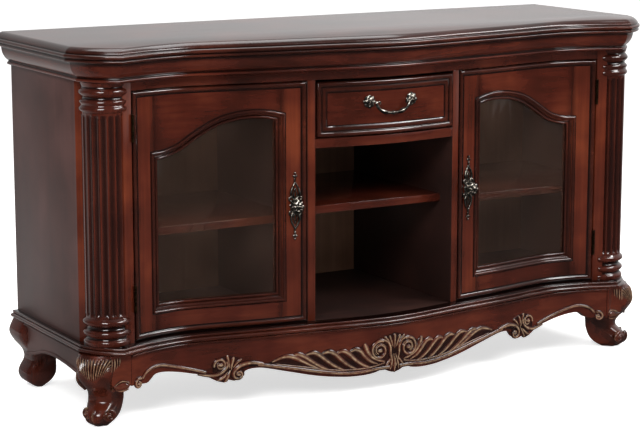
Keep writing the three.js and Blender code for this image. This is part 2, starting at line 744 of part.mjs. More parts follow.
// Door pulls: an openwork plate with a round knob, on the lock stiles
const pullSet = 28; // from the edge of the door to the middle of its pull
const pullBelow = 6; // the knob sits this far below the middle of the door
const pullX = doorLockEdge + pullSet;
const pullZ = (doorBottom + doorTop) / 2 - pullBelow;
const plateLong = 158;
const plateWide = 22;
const plateThick = 2.4;
const pullGroup = (side) => {
  const group = new THREE.Group();
  group.position.set(side * pullX, frontAt(pullX, faceInset) - seat, pullZ);
  group.rotation.z = side * frontSlope(pullX);
  stand.add(group);
  return group;
};
// Half outline of the plate: share of its half length from the middle, share of its half width
const plateShares = [
  [0, 1], [0.1, 0.95], [0.17, 0.5], [0.22, 0.34], [0.34, 0.72], [0.48, 0.95], [0.6, 0.72], [0.7, 0.34],
  [0.76, 0.3], [0.81, 0.6], [0.87, 0.5], [0.91, 0.22], [0.955, 0.3], [1, 0.06],
];
const loopShares = [[0.27, 0.02], [0.35, 0.32], [0.47, 0.52], [0.57, 0.36], [0.66, 0.02]];

function plateOutline(shares, way) {
  const half = shares.map(([along, wide]) => (
    new THREE.Vector2((wide * plateWide) / 2, (way * along * plateLong) / 2)
  ));
  return [...half, ...half.slice().reverse().map(({ x, y }) => new THREE.Vector2(-x, y))];
}

function pullPlate() {
  const upper = plateOutline(plateShares, 1);
  const lower = plateOutline(plateShares.slice(1), -1).reverse();
  const shape = new THREE.Shape([...upper, ...lower]);
  [1, -1].forEach((way) => shape.holes.push(new THREE.Path(plateOutline(loopShares, way))));
  const plate = new THREE.ExtrudeGeometry(shape, { depth: plateThick, bevelEnabled: false });
  return plate.rotateX(Math.PI / 2);
}

// Turned profiles: share of the length out from the face, share of the radius
const knobLong = 29;
const knobRadius = 14;
const knobShares = [
  [0, 0.464], [0.103, 0.429], [0.207, 0.286], [0.448, 0.271], [0.552, 0.429], [0.621, 0.786], [0.724, 1],
  [0.845, 0.957], [0.914, 0.643], [0.966, 0.393], [1, 0],
];
const knobSides = 12;

function turnedOut(profileShares, long, wide, sides) {
  const points = profileShares.map(([along, radius]) => new THREE.Vector2(radius * wide, along * long));
  return new THREE.LatheGeometry([new THREE.Vector2(0, points[0].y), ...points], sides).rotateX(Math.PI);
}

[["left", -1], ["right", 1]].forEach(([name, side]) => {
  const group = pullGroup(side);
  add(`door_${name}_pull_plate`, pullPlate(), pewter, group);
  const knob = turnedOut(knobShares, knobLong, knobRadius, knobSides).translate(0, -plateThick - seat, 0);
  add(`door_${name}_knob`, knob, pewter, group);
});

// Drawer: a moulded, bow-fronted face on a plain box
const drawerGapSide = 2.7;
const drawerGapBelow = 3;
const drawerGapAbove = 5.5;
const drawerHalf = bayHalf - drawerGapSide;
const drawerLow = drawerRailTop + drawerGapBelow;
const drawerHigh = topRailLow - drawerGapAbove;
const drawerFlat = 76; // flat back of the drawer front, behind the middle of the bow
const drawerSideGap = 12.5; // from a partition to the drawer's side, over the runner
const drawerSideX = bayHalf - drawerSideGap;
const drawerBoard = 12;
const drawerLong = 364;
const drawerBoxRise = 14;
const drawerBoxDown = 20;
const drawerBoxLow = drawerLow + drawerBoxRise;
const drawerBoxHigh = drawerHigh - drawerBoxDown;
const drawerBottomThick = 6;
const drawerBottomRise = 6;
const drawerBackY = frontY + drawerFlat + drawerLong;
const drawerFlatY = frontY + drawerFlat;
const drawerFrontBody = loft(stations(-drawerHalf, drawerHalf).map((x) => [
  new THREE.Vector3(x, frontAt(x, faceInset), drawerLow), new THREE.Vector3(x, drawerFlatY, drawerLow),
  new THREE.Vector3(x, drawerFlatY, drawerHigh), new THREE.Vector3(x, frontAt(x, faceInset), drawerHigh),
]));
const drawerRect = [
  new THREE.Vector2(-drawerHalf, drawerLow), new THREE.Vector2(drawerHalf, drawerLow),
  new THREE.Vector2(drawerHalf, drawerHigh), new THREE.Vector2(-drawerHalf, drawerHigh),
];
const drawerBorder = 24; // width of the moulded border
const drawerBeadShares = [
  [-1, 0.125], [-1, 0.025], [-0.875, -0.067], [-0.625, -0.1], [-0.479, -0.075], [-0.396, -0.15],
  [-0.208, -0.217], [-0.067, -0.183], [0, -0.042], [0, 0.125],
];
const drawerMoulding = beadRound(drawerRect, drawerBeadShares, drawerBorder, faceInset);
add("drawer_front", join(drawerFrontBody, drawerMoulding), cherry);
addPair("drawer_side_left", "drawer_side_right", box(drawerSideX - drawerBoard, drawerSideX,
  drawerFlatY + seat, drawerBackY, drawerBoxLow, drawerBoxHigh), interior);
const drawerInnerX = drawerSideX - drawerBoard - seat;
const drawerBottomLow = drawerBoxLow + drawerBottomRise;
add("drawer_bottom", box(-drawerInnerX, drawerInnerX, drawerFlatY + seat, drawerBackY - drawerBoard - seat,
  drawerBottomLow, drawerBottomLow + drawerBottomThick), interior);
add("drawer_back", box(-drawerInnerX, drawerInnerX, drawerBackY - drawerBoard, drawerBackY,
  drawerBottomLow, drawerBoxHigh), interior);

// Runners on the partitions, under the drawer sides
const runnerHigh = 11;
const runnerTop = drawerBoxLow - seat;
addPair("drawer_runner_left", "drawer_runner_right", box(drawerSideX - drawerBoard, bayHalf - seat,
  drawerFlatY + seat, innerBackY - seat, runnerTop - runnerHigh, runnerTop), interior);

// Drawer pull: two rosettes with ears and a bail that hangs from them
const rosetteX = 56;
const rosetteRise = 75; // above the foot of the drawer front
const rosetteZ = drawerLow + rosetteRise;
const rosetteLong = 19.4;
const rosetteRadius = 13;
const rosetteShares = [
  [0, 1], [0.103, 0.954], [0.206, 0.723], [0.278, 0.754], [0.381, 0.462], [0.464, 0.338], [0.773, 0.323],
  [0.959, 0.262], [1, 0],
];
const rosetteSides = 12;
const bailSet = 14; // the bail's pivots stand this far out from the face
const bailRadius = 2.6;
const earBore = 2;
const bailDrop = 27;
const rosetteFaceY = frontAt(rosetteX, faceInset) - seat;
const bailY = rosetteFaceY - bailSet;
const pivotBore = () => new THREE.CylinderGeometry(earBore, earBore, rosetteX * 4, knuckleSides)
  .rotateZ(Math.PI / 2).translate(0, bailY, rosetteZ);
const rosetteLean = frontSlope(rosetteX);
const rosette = cut(turnedOut(rosetteShares, rosetteLong, rosetteRadius, rosetteSides).rotateZ(rosetteLean)
  .translate(rosetteX, rosetteFaceY, rosetteZ), pivotBore());
addPair("drawer_rosette_left", "drawer_rosette_right", rosette, pewter);

// The bail: a rod that leaves each ear, turns down and swells in the middle
// Share of rosetteX from the middle, share of bailDrop below the pivots, share of bailRadius
const bailShares = [
  [1.125, 0, 0.58], [0.857, 0, 0.58], [0.804, 0.093, 0.92], [0.768, 0.333, 1], [0.607, 0.667, 1],
  [0.375, 0.911, 1.15], [0.232, 0.978, 1.38], [0.125, 0.985, 1.15], [0.054, 1, 1.92],
];
const bailSides = 8;

function bailRings() {
  const half = bailShares.map(([along, down, r]) => [along * rosetteX, -down * bailDrop, r * bailRadius]);
  const route = [...half.map(([x, z, r]) => [-x, z, r]), ...half.slice().reverse()];
  return route.map(([x, z, r], i) => {
    const before = route[Math.max(i - 1, 0)];
    const after = route[Math.min(i + 1, route.length - 1)];
    const way = new THREE.Vector2(after[0] - before[0], after[1] - before[1]).normalize();
    return Array.from({ length: bailSides }, (_, k) => {
      const angle = ((k + 0.5) / bailSides) * Math.PI * 2;
      const out = r * Math.cos(angle);
      return new THREE.Vector3(x - way.y * out, bailY + r * Math.sin(angle), rosetteZ + z + way.x * out);
    });
  });
}
add("drawer_bail", loft(bailRings()), pewter);

// Legs. The front pair splay along the corners' diagonals, the rear pair stand square.
const legTop = caseLow - seat;
const footOut = 33; // from the corner of the top's flat out to the middle of a front leg
const footX = cornerX + footOut;
const footSet = 100; // behind the middle of the bow
// Shares of the leg's height: level, outermost reach, innermost reach, half width, half width of the bracket
const frontLegShares = [
  [1, 0.224, -0.46, 0.286, 0.249], [0.9, 0.286, -0.448, 0.283, 0.249], [0.78, 0.311, -0.436, 0.28, 0.246],
  [0.68, 0.292, -0.423, 0.274, 0.236], [0.6, 0.243, -0.411, 0.236, 0.227],
  [0.54, 0.193, -0.404, 0.199, 0.212], [0.48, 0.124, -0.392, 0.19, 0.205],
  [0.4, 0.072, -0.386, 0.199, 0.202], [0.33, 0.072, -0.38, 0.202, 0.205],
  [0.28, 0.118, -0.367, 0.193, 0.205], [0.22, 0.193, -0.348, 0.168, 0.199],
  [0.16, 0.23, -0.317, 0.137, 0.193], [0.1, 0.224, -0.268, 0.106, 0.18],
  [0.05, 0.187, -0.205, 0.075, 0.156], [0, 0.112, -0.124, 0.056, 0.112],
];

// A leg as a stack of sections: a rounded front on a narrower bracket
function legRings(levelShares, grow) {
  return levelShares.map(([share, outward, inward, half, inner]) => {
    const z = legTop * share;
    const o = outward * legTop + grow;
    const h = half * legTop + grow;
    const n = inner * legTop + grow;
    const i = inward * legTop - grow;
    const shoulder = o - h * 0.8;
    const side = [
      [i, n], [shoulder - h * 0.5, n * 1.02], [shoulder, h], [o - h * 0.36, h * 0.86], [o - h * 0.1, h * 0.5],
    ];
    const ring = [...side, [o, 0], ...side.slice().reverse().map(([u, v]) => [u, -v])];
    return ring.map(([u, v]) => new THREE.Vector3(u, v, z));
  });
}

// The rings of a leg, with its top ring repeated above it where the leg is used as a cutter
function legBody(rings, grow) {
  const above = rings[0].map((point) => point.clone().setZ(point.z + overrun));
  return loft(grow > 0 ? [above, ...rings] : rings);
}

function frontLeg(grow) {
  const body = legBody(legRings(frontLegShares, grow), grow);
  return body.rotateZ(-Math.PI / 4).translate(footX, frontY + footSet, 0);
}
addPair("leg_front_left", "leg_front_right", frontLeg(0), darkCherry);

// Rear legs: level as a share of the leg's height, outermost and innermost X as shares of flatHalf, and the
// front and rear edges from the rear of the top as shares of the leg's height
const rearLegShares = [
  [1, 0.992, 0.876, -0.46, -0.019], [0.87, 1.005, 0.876, -0.467, -0.012],
  [0.78, 1.005, 0.879, -0.46, -0.012], [0.66, 0.99, 0.884, -0.436, -0.012],
  [0.54, 0.968, 0.885, -0.404, -0.012], [0.45, 0.96, 0.885, -0.386, -0.012],
  [0.37, 0.962, 0.885, -0.386, -0.012], [0.28, 0.974, 0.885, -0.386, -0.012],
  [0.19, 0.98, 0.888, -0.386, -0.012], [0.1, 0.974, 0.902, -0.38, -0.019],
  [0.04, 0.96, 0.919, -0.361, -0.031], [0, 0.946, 0.93, -0.336, -0.05],
];

function rearLeg(grow) {
  const rings = rearLegShares.map(([share, outX, inX, frontEdge, rearEdge]) => {
    const out = outX * flatHalf + grow;
    const inner = inX * flatHalf - grow;
    const near = backY + frontEdge * legTop - grow;
    const far = backY + rearEdge * legTop + grow;
    const round = (far - near) * 0.18;
    const plan = [
      [inner, near], [out - round, near], [out - round * 0.3, near + round * 0.3], [out, near + round],
      [out, far], [inner, far],
    ];
    return plan.map(([x, y]) => new THREE.Vector3(x, y, legTop * share));
  });
  return legBody(rings, grow);
}
addPair("leg_rear_left", "leg_rear_right", rearLeg(0), darkCherry);

// Front apron: its lower edge runs down to the middle in scrolls, with a bead along it
const apronThick = 22;
const apronOut = 15; // the apron runs this far past the corner of the top's flat, into the leg
const apronEnd = cornerX + apronOut;
const apronDrop = 115.7; // from the underside of the base moulding to the lowest point
// Share of the half width, share of the drop
const apronShares = [
  [0, 1.009], [0.02, 0.983], [0.044, 0.927], [0.073, 0.97], [0.105, 0.996], [0.146, 1.003], [0.19, 0.991],
  [0.281, 0.914], [0.389, 0.758], [0.474, 0.637], [0.512, 0.633], [0.535, 0.68], [0.545, 0.767],
  [0.564, 0.844], [0.589, 0.81], [0.601, 0.788], [0.617, 0.827], [0.639, 0.784], [0.661, 0.693],
  [0.711, 0.62], [0.76, 0.551], [0.814, 0.494], [0.849, 0.499], [0.865, 0.568], [0.88, 0.628],
  [0.905, 0.624], [0.93, 0.611], [1, 0.611],
];
const apronBead = 9;
const apronBeadOut = 4;
const apronTopBead = 6;
const apronTopBeadOut = 8;
const apronSteps = 50;

function edgeSection(low) {
  return [
    [apronInset, legTop], [apronInset - apronTopBeadOut, legTop],
    [apronInset - apronTopBeadOut, legTop - apronTopBead * 0.7],
    [apronInset, legTop - apronTopBead], [apronInset, low + apronBead],
    [apronInset - apronBeadOut, low + apronBead * 0.7],
    [apronInset - apronBeadOut, low + apronBead * 0.25], [apronInset, low], [apronInset + apronThick, low],
    [apronInset + apronThick, legTop],
  ];
}

function apronFront() {
  const xs = steps(-apronEnd, apronEnd, apronSteps * 2);
  return frontBar(-apronEnd, apronEnd, (x) => edgeSection(
    legTop - apronDrop * curveThrough(apronShares, Math.abs(x) / apronEnd)), xs);
}
const legTools = [frontLeg(seat), mirrored(frontLeg(seat))];
add("apron_front", cut(apronFront(), ...legTools), gilt);

// Side aprons: a shallow arch between the front and rear legs
const sideApronShares = [
  [0, 0.5], [0.15, 0.46], [0.3, 0.42], [0.5, 0.4], [0.7, 0.45], [0.85, 0.57], [1, 0.66],
];
const sideApronFrontSet = 120; // its front end, behind the middle of the bow
const sideApronRearSet = 70; // its rear end, ahead of the rear edge
const sideApronStart = frontY + sideApronFrontSet;
const sideApronEnd = backY - sideApronRearSet;
const sideApronSteps = 14;

function apronSide() {
  const rings = steps(0, 1, sideApronSteps).map((t) => {
    const y = sideApronStart + (sideApronEnd - sideApronStart) * t;
    const low = legTop - apronDrop * curveThrough(sideApronShares, t);
    return edgeSection(low).map(([inset, z]) => new THREE.Vector3(flatHalf - inset, y, z));
  });
  return loft(rings);
}
addPair("apron_left", "apron_right", cut(apronSide(), frontLeg(seat), rearLeg(seat)), darkCherry);

export default stand;
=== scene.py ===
# %% [markdown]
# # A traditional television stand
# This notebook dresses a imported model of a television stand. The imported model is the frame: it says
# where every board, door and leg is. Here each visible piece gets its real edges, carving and finish.
# Everything is in metres. +X runs to the viewer's right, the front faces -Y, and +Z is up.

import math

import bmesh
import bpy
from mathutils import Matrix, Vector


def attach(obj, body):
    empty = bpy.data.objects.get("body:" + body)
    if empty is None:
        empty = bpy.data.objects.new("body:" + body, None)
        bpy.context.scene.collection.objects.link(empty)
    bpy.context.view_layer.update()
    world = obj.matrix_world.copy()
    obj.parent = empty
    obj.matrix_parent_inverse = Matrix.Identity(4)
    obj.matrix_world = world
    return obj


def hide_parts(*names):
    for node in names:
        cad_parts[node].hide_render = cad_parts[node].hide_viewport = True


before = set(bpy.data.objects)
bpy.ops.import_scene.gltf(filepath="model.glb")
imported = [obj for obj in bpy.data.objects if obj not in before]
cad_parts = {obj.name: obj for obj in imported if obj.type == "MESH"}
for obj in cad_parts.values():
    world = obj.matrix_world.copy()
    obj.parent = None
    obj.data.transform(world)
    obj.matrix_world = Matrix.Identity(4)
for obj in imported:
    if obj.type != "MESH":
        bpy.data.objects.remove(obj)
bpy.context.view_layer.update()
print("nodes in the frame:", len(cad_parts))

# %% [markdown]
# ## Colours and nodes
# A colour is written as its sRGB hex value, as a paint chart gives it. Blender's sockets want linear
# light, so one function turns it. One function adds every shader node with its settings and links,
# and the nodes that come back in most materials have a short helper each.

# %% Helpers for materials
def linear(code):
    parts = [int(code[i:i + 2], 16) / 255 for i in (1, 3, 5)]
    return [c / 12.92 if c <= 0.04045 else ((c + 0.055) / 1.055) ** 2.4 for c in parts] + [1.0]


def add_node(tree, kind, inputs=None, **settings):
    node = tree.nodes.new(kind)
    for key, value in settings.items():
        setattr(node, key, value)
    for key, value in (inputs or {}).items():
        if isinstance(value, bpy.types.NodeSocket):
            tree.links.new(value, node.inputs[key])
        else:
            node.inputs[key].default_value = value
    return node


def new_material(name):
    """An empty material, its tree, and the place on the object, from which every pattern is made."""
    material = bpy.data.materials.new(name)
    material.use_nodes = True
    tree = material.node_tree
    tree.nodes.clear()
    return material, tree, add_node(tree, "ShaderNodeTexCoord").outputs["Object"]


def noise(tree, place, scale, detail=3.0, **more):
    inputs = {"Vector": place, "Scale": scale, "Detail": detail, **more}
    return add_node(tree, "ShaderNodeTexNoise", inputs).outputs["Fac"]


def ramp(tree, factor, stops):
    node = add_node(tree, "ShaderNodeValToRGB", {"Fac": factor})
    elements = node.color_ramp.elements
    while len(elements) < len(stops):
        elements.new(0.5)
    for element, (place, colour) in zip(elements, stops):
        element.position = place
        element.color = linear(colour)
    return node.outputs["Color"]


def mix_colours(tree, factor, first, second):
    return add_node(tree, "ShaderNodeMix", {0: factor, 6: first, 7: second}, data_type="RGBA").outputs[2]


def mix_values(tree, factor, first, second):
    return add_node(tree, "ShaderNodeMix", {0: factor, 2: first, 3: second}, data_type="FLOAT").outputs[0]


def calculate(tree, operation, first, second, **settings):
    return add_node(tree, "ShaderNodeMath", {0: first, 1: second}, operation=operation, **settings).outputs[0]


def between(tree, value, low, high, new_low, new_high):
    """A value that runs from low to high, made to run from new_low to new_high."""
    inputs = {"Value": value, "From Min": low, "From Max": high, "To Min": new_low, "To Max": new_high}
    return add_node(tree, "ShaderNodeMapRange", inputs).outputs[0]


def marked(tree, mark):
    """The attribute of the mesh that has this name: from 0 to 1 at each point."""
    return add_node(tree, "ShaderNodeAttribute", attribute_name=mark).outputs["Fac"]


def surface(tree, inputs, bump=None):
    """The principled shader and the output. A bump is its height, strength and distance."""
    if bump:
        settings = dict(zip(("Height", "Strength", "Distance"), bump))
        inputs["Normal"] = add_node(tree, "ShaderNodeBump", settings).outputs[0]
    shader = add_node(tree, "ShaderNodeBsdfPrincipled", inputs)
    add_node(tree, "ShaderNodeOutputMaterial", {"Surface": shader.outputs[0]})


print("helpers for materials ready")

# %% [markdown]
# ## The lacquered cherry
# The real wood is cherry, stained red-brown, shaded almost black with glazing in its corners, and
# sprayed with a gloss lacquer. Grain is noise that is stretched along the board, so each board needs
# to know its own direction. The dark comes from an attribute named glaze, which each
# moulding carries on its points: 1 in a groove and 0 on a crown. It is the glazing and painted shade
# in one. Gold is rubbed over carving the same way, and with it a painted highlight on the crests.

# %% Lacquered wood
GRAIN_LONG, GRAIN_WIDE = 0.45, 0.012  # a streak in the grain
MOTTLE_WIDE = 0.16  # the stain's patches, several hands wide
# The glazing's near-black, which also paints the shade in grooves, corners and between parts
GLAZE_AND_SHADE = "#0F0504"
LACQUER_IOR = 1.5


def lacquered_wood(name, along, dark, middle, light, roughness=0.16, coat=0.2):
    material, tree, place = new_material(name)
    stretch = [1 / GRAIN_LONG if axis == along else 1 / GRAIN_WIDE for axis in "xyz"]
    grain_place = add_node(tree, "ShaderNodeMapping", {"Vector": place, "Scale": stretch}).outputs[0]
    streaks = noise(tree, grain_place, 1.0, 5.0, Roughness=0.6, Distortion=0.5)
    patches = mix_values(tree, 0.3, noise(tree, place, 1 / MOTTLE_WIDE), streaks)
    stain = ramp(tree, patches, [(0.32, dark), (0.5, middle), (0.68, light)])
    inputs = {
        # painted shade and glazing: the stain goes to near-black where the mark is high
        "Base Color": mix_colours(tree, marked(tree, "glaze"), stain, linear(GLAZE_AND_SHADE)),
        "Roughness": between(tree, streaks, 0.0, 1.0, roughness - 0.03, roughness + 0.04),
        "IOR": LACQUER_IOR, "Coat Weight": coat, "Coat Roughness": 0.05,
    }
    surface(tree, inputs, (streaks, 0.02, 0.0002))
    return material


# The grain's axis, and the stain from its darkest to its lightest. Turned parts and mouldings carry
# more lacquer, the top is a little duller, the side panels are rubbed down, and nothing inside or
# behind is coated. The side panels' stain is greyer than the front's, as painted sheen. The wood inside
# the case is stained darker, as painted shade, and the back veneer lighter, as painted light in the
# glazed compartments.
cherry_upright = lacquered_wood("cherry lacquered, grain upright", "z", "#2E110A", "#4C1E12", "#6A301B")
cherry_level = lacquered_wood("cherry lacquered, grain level", "x", "#260E08", "#3F170E", "#582617")
cherry_turned = lacquered_wood("cherry lacquered, turned", "z", "#240E09", "#3A160E", "#4E2217", 0.14, 0.4)
MOULDING_STAIN = ("#1E0B07", "#33130B", "#4A1F13")
cherry_dark = lacquered_wood("cherry lacquered dark, on mouldings", "x", *MOULDING_STAIN, 0.14, 0.5)
cherry_top = lacquered_wood("cherry lacquered, top board", "x", *MOULDING_STAIN, 0.19, 0.2)
cherry_side_painted_sheen = lacquered_wood("cherry lacquered, side panels, sheen painted in", "z", "#36201D", "#452A26", "#543632", 0.42, 0.0)
inside_wood_painted_shade = lacquered_wood("cherry sealed, inside the case, shade painted in", "x", "#1C0D09", "#29140F", "#371D16", 0.5, 0.0)
back_veneer_painted_light = lacquered_wood("cherry veneer, back panel, light painted in", "z", "#6A4836", "#805A44", "#946C54", 0.5, 0.0)
print("woods made:", 8)


# %% Carved wood with gold rubbed on its ridges
def rubbed_wood(name, dark, light, gold):
    material, tree, place = new_material(name)
    stain = ramp(tree, noise(tree, place, 30.0), [(0.35, dark), (0.65, light)])
    shaded = mix_colours(tree, marked(tree, "glaze"), stain, linear(GLAZE_AND_SHADE))
    worn = between(tree, noise(tree, place, 110.0, 4.0), 0.35, 0.65, 0.25, 1.0)
    # gold rubbed on the crowns, and a painted highlight on the crests with it, worn in places
    gilt_and_highlight_left = calculate(tree, "MULTIPLY", marked(tree, "rub"), worn)
    surface(tree, {
        "Base Color": mix_colours(tree, gilt_and_highlight_left, shaded, linear(gold)), "Roughness": 0.22,
        "IOR": LACQUER_IOR, "Coat Weight": 0.4, "Coat Roughness": 0.06,
    })
    return material


carved_wood = rubbed_wood("cherry carved, gold rubbed on the ridges", "#2C1009", "#4C1C0F", "#B79C7C")
print("woods for carving:", 1)

# %% [markdown]
# ## Metal, glass and plastic
# The handles are cast metal with an antique pewter finish: bright in some places and nearly black in
# others, where the finisher left the patina. The hinges are dark brass, and the door catches plastic.
# The panes are clear float glass: light passes, and the surface mirrors more the flatter it is looked
# along, which is what Fresnel gives. A faint warm veil on them is partly haze and partly painted light
# for the lit inside seen through them.

# %% Materials of the fittings
def cast_metal(name, dark, light, roughness):
    material, tree, place = new_material(name)
    cast = noise(tree, place, 260.0)
    colour = ramp(tree, cast, [(0.4, dark), (0.58, light)])
    surface(tree, {"Base Color": colour, "Metallic": 1.0, "Roughness": roughness}, (cast, 0.25, 0.0006))
    return material


def float_glass(name):
    """Clear, with the mirror of a flat surface and a faint warm veil: haze on the pane, and painted light
    that stands in for the lit inside seen through it.
    """
    material, tree, place = new_material(name)
    clear = add_node(tree, "ShaderNodeBsdfTransparent", {"Color": linear("#F4F6F5")})
    shine = add_node(tree, "ShaderNodeBsdfGlossy", {"Roughness": 0.02, "Color": linear("#FFFFFF")})
    fresnel = add_node(tree, "ShaderNodeFresnel", {"IOR": 1.45}).outputs[0]
    inner = add_node(tree, "ShaderNodeNewGeometry").outputs["Backfacing"]
    # Light goes straight through this pane, so the inner side of a surface must not mirror it back.
    mirror = calculate(tree, "SUBTRACT", fresnel, inner, use_clamp=True)
    both = add_node(tree, "ShaderNodeMixShader", {0: mirror, 1: clear.outputs[0], 2: shine.outputs[0]})
    haze_and_inside_share = between(tree, noise(tree, place, 7.0), 0.3, 0.7, 0.007, 0.018)
    haze_and_painted_inside = add_node(tree, "ShaderNodeBsdfDiffuse", {"Color": linear("#DCAE98")})
    pane = add_node(tree, "ShaderNodeMixShader", {0: haze_and_inside_share, 1: both.outputs[0], 2: haze_and_painted_inside.outputs[0]})
    add_node(tree, "ShaderNodeOutputMaterial", {"Surface": pane.outputs[0]})
    return material


def moulded_plastic(name, colour):
    material, tree, place = new_material(name)
    grain = noise(tree, place, 900.0, 2.0)
    surface(tree, {"Base Color": linear(colour), "Roughness": 0.5}, (grain, 0.1, 0.0003))
    return material


pewter = cast_metal("pewter, antique cast", "#12100E", "#A9A197", 0.24)
hinge_brass = cast_metal("brass, antique", "#1C1610", "#4A3C28", 0.4)
pane_glass = float_glass("float glass, clear")
catch_plastic = moulded_plastic("ABS, dark brown", "#2A1A14")
print("materials in all:", len(bpy.data.materials))

# %% [markdown]
# ## The line of the front
# The front bows out in the middle, draws in over the doors and comes forward again at the corners.
# Every board on it follows this one line. A board is modelled flat and then moved back, point by
# point, by the distance that the line lies behind the middle of the bow.

# %% The front's line
TOP_WIDE, TOP_DEEP, TOP_HIGH = 1.524, 0.527, 0.826
EDGE_OUT = 0.020  # the moulded edge of the top, in plan
CORNER_ACROSS, CORNER_BACK, CORNER_BOW = 0.073, 0.088, 0.012  # the cant across each corner
CURVE_DEPTH = 0.071
# Share of the way from the middle to the cant, and share of the depth that the line is set back there
CURVE = [
    (0, 0), (0.11, 0.07), (0.293, 0.34), (0.493, 0.61), (0.647, 0.88), (0.76, 1), (0.879, 0.83), (1, 0.45),
]
FLAT_HALF = TOP_WIDE / 2 - EDGE_OUT
FRONT_Y = -TOP_DEEP / 2 + EDGE_OUT
BACK_Y = TOP_DEEP / 2
CORNER_X = FLAT_HALF - CORNER_ACROSS
FACE = 0.034  # doors, drawer and rails lie this far behind the edge of the top's flat


def curve_through(points, x):
    """The height at x of a smooth curve through points, level where it begins."""
    k = 0
    while k < len(points) - 2 and x > points[k + 1][0]:
        k += 1

    def slope(i):
        if i == 0:
            return 0.0
        after = min(i + 1, len(points) - 1)
        return (points[after][1] - points[i - 1][1]) / (points[after][0] - points[i - 1][0])

    (x0, y0), (x1, y1) = points[k], points[k + 1]
    span = x1 - x0
    t = (x - x0) / span
    risen = t * t * (3 - 2 * t)
    return (
        y0 * (1 - risen) + y1 * risen
        + t * (1 - t) ** 2 * span * slope(k) + t * t * (t - 1) * span * slope(k + 1)
    )


def set_back(x):
    """How far the front's line lies behind the middle of its bow."""
    return CURVE_DEPTH * curve_through(CURVE, abs(x) / CORNER_X)


def on_front(x, depth, z):
    """A point on the face that doors and rails share, or the depth behind it."""
    return Vector((x, FRONT_Y + set_back(x) + FACE + depth, z))


deepest = max(set_back(CORNER_X * i / 100) for i in range(101))
print("hollow of the front behind its bow, mm:", round(1000 * deepest, 1))

# %% [markdown]
# ## Mouldings and bent boards
# A moulding is one section that is carried along a line: extrude the section's edges and put each new
# ring in its place. A board on the front is a flat outline that is extruded, sliced and bent. A third
# way, spinning an outline, comes with the columns and the handles. However a piece is shaped, it ends
# in finish_piece, which makes it an object. The stand is drawn on its right and mirrored for its left.

# %% Helpers for shapes
SMOOTH_UNDER = math.radians(38)
SIDES = (("left", True), ("right", False))  # and whether a piece is mirrored there


def finish_piece(name, bm, body, material, stands_for, mirror=False, angle=SMOOTH_UNDER):
    """Makes a shape an object that rides on its body and stands for the frame's own pieces."""
    if mirror:
        bmesh.ops.scale(bm, vec=(-1, 1, 1), verts=bm.verts)
    bmesh.ops.recalc_face_normals(bm, faces=bm.faces)
    mesh = bpy.data.meshes.new(name)
    bm.to_mesh(mesh)
    bm.free()
    mesh.shade_smooth()
    mesh.set_sharp_from_angle(angle=angle)
    if "mitre" in mesh.attributes:
        on_mitre = [value.value > 0.5 for value in mesh.attributes["mitre"].data]
        for edge in mesh.edges:
            edge.use_edge_sharp |= all(on_mitre[i] for i in edge.vertices)
    mesh.materials.append(material)
    piece = bpy.data.objects.new(name, mesh)
    bpy.context.scene.collection.objects.link(piece)
    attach(piece, body)
    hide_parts(*stands_for)
    return piece


def rounded(section, rounds=1):
    """Corners cut off again and again. A point may hold more than its place, such as its painted shade."""
    for _ in range(rounds):
        cut = [section[0]]
        for a, b in zip(section, section[1:]):
            cut += [tuple(p * near + q * (1 - near) for p, q in zip(a, b)) for near in (0.75, 0.25)]
        section = cut + [section[-1]]
    return section


def sweep(rings, endless=False, **marks):
    """A section carried along a line: one ring of points for each place. A mark such as painted shade with
    the glazing, or rubbed gold with a painted highlight, is a function of the ring's number and the
    point's number, and is kept on the points as an attribute."""
    bm = bmesh.new()
    order = bm.verts.layers.int.new("order")
    layers = {key: bm.verts.layers.float.new(key) for key in marks}

    def place(verts, row):
        for vert in verts:
            i = vert[order]
            vert.co = rings[row % len(rings)][i]
            for key, layer in layers.items():
                vert[layer] = marks[key](row % len(rings), i)

    start = [bm.verts.new(point) for point in rings[0]]
    for i, vert in enumerate(start):
        vert[order] = i
    place(start, 0)
    first = edges = [bm.edges.new((vert, start[(i + 1) % len(start)])) for i, vert in enumerate(start)]
    for row in range(1, len(rings) + (1 if endless else 0)):
        made = bmesh.ops.extrude_edge_only(bm, edges=edges)["geom"]
        verts = {item for item in made if isinstance(item, bmesh.types.BMVert)}
        place(verts, row)
        edges = [e for e in made if isinstance(e, bmesh.types.BMEdge) and set(e.verts) <= verts]
    if endless:
        bmesh.ops.remove_doubles(bm, verts=bm.verts, dist=1e-6)
    else:
        bmesh.ops.edgeloop_fill(bm, edges=first)
        bmesh.ops.edgeloop_fill(bm, edges=edges)
    return bm


SLICE = 0.014  # the bent boards have a facet line this often, too fine to see
BOARD_EDGE = 1.2  # radians between two faces of a board that meet at its edge
SHADE_WIDE = 0.02  # how far in from the edge of a board the painted shade and glazing reach


def distance_to(loop, x, z):
    """How far a point of a board lies from its nearest edge."""
    nearest = 1.0
    for (ax, az), (bx, bz) in zip(loop, loop[1:] + loop[:1]):
        run = Vector((bx - ax, bz - az))
        away = Vector((x - ax, z - az))
        t = min(1.0, max(0.0, away.dot(run) / (run.length_squared or 1.0)))
        nearest = min(nearest, (away - run * t).length)
    return nearest


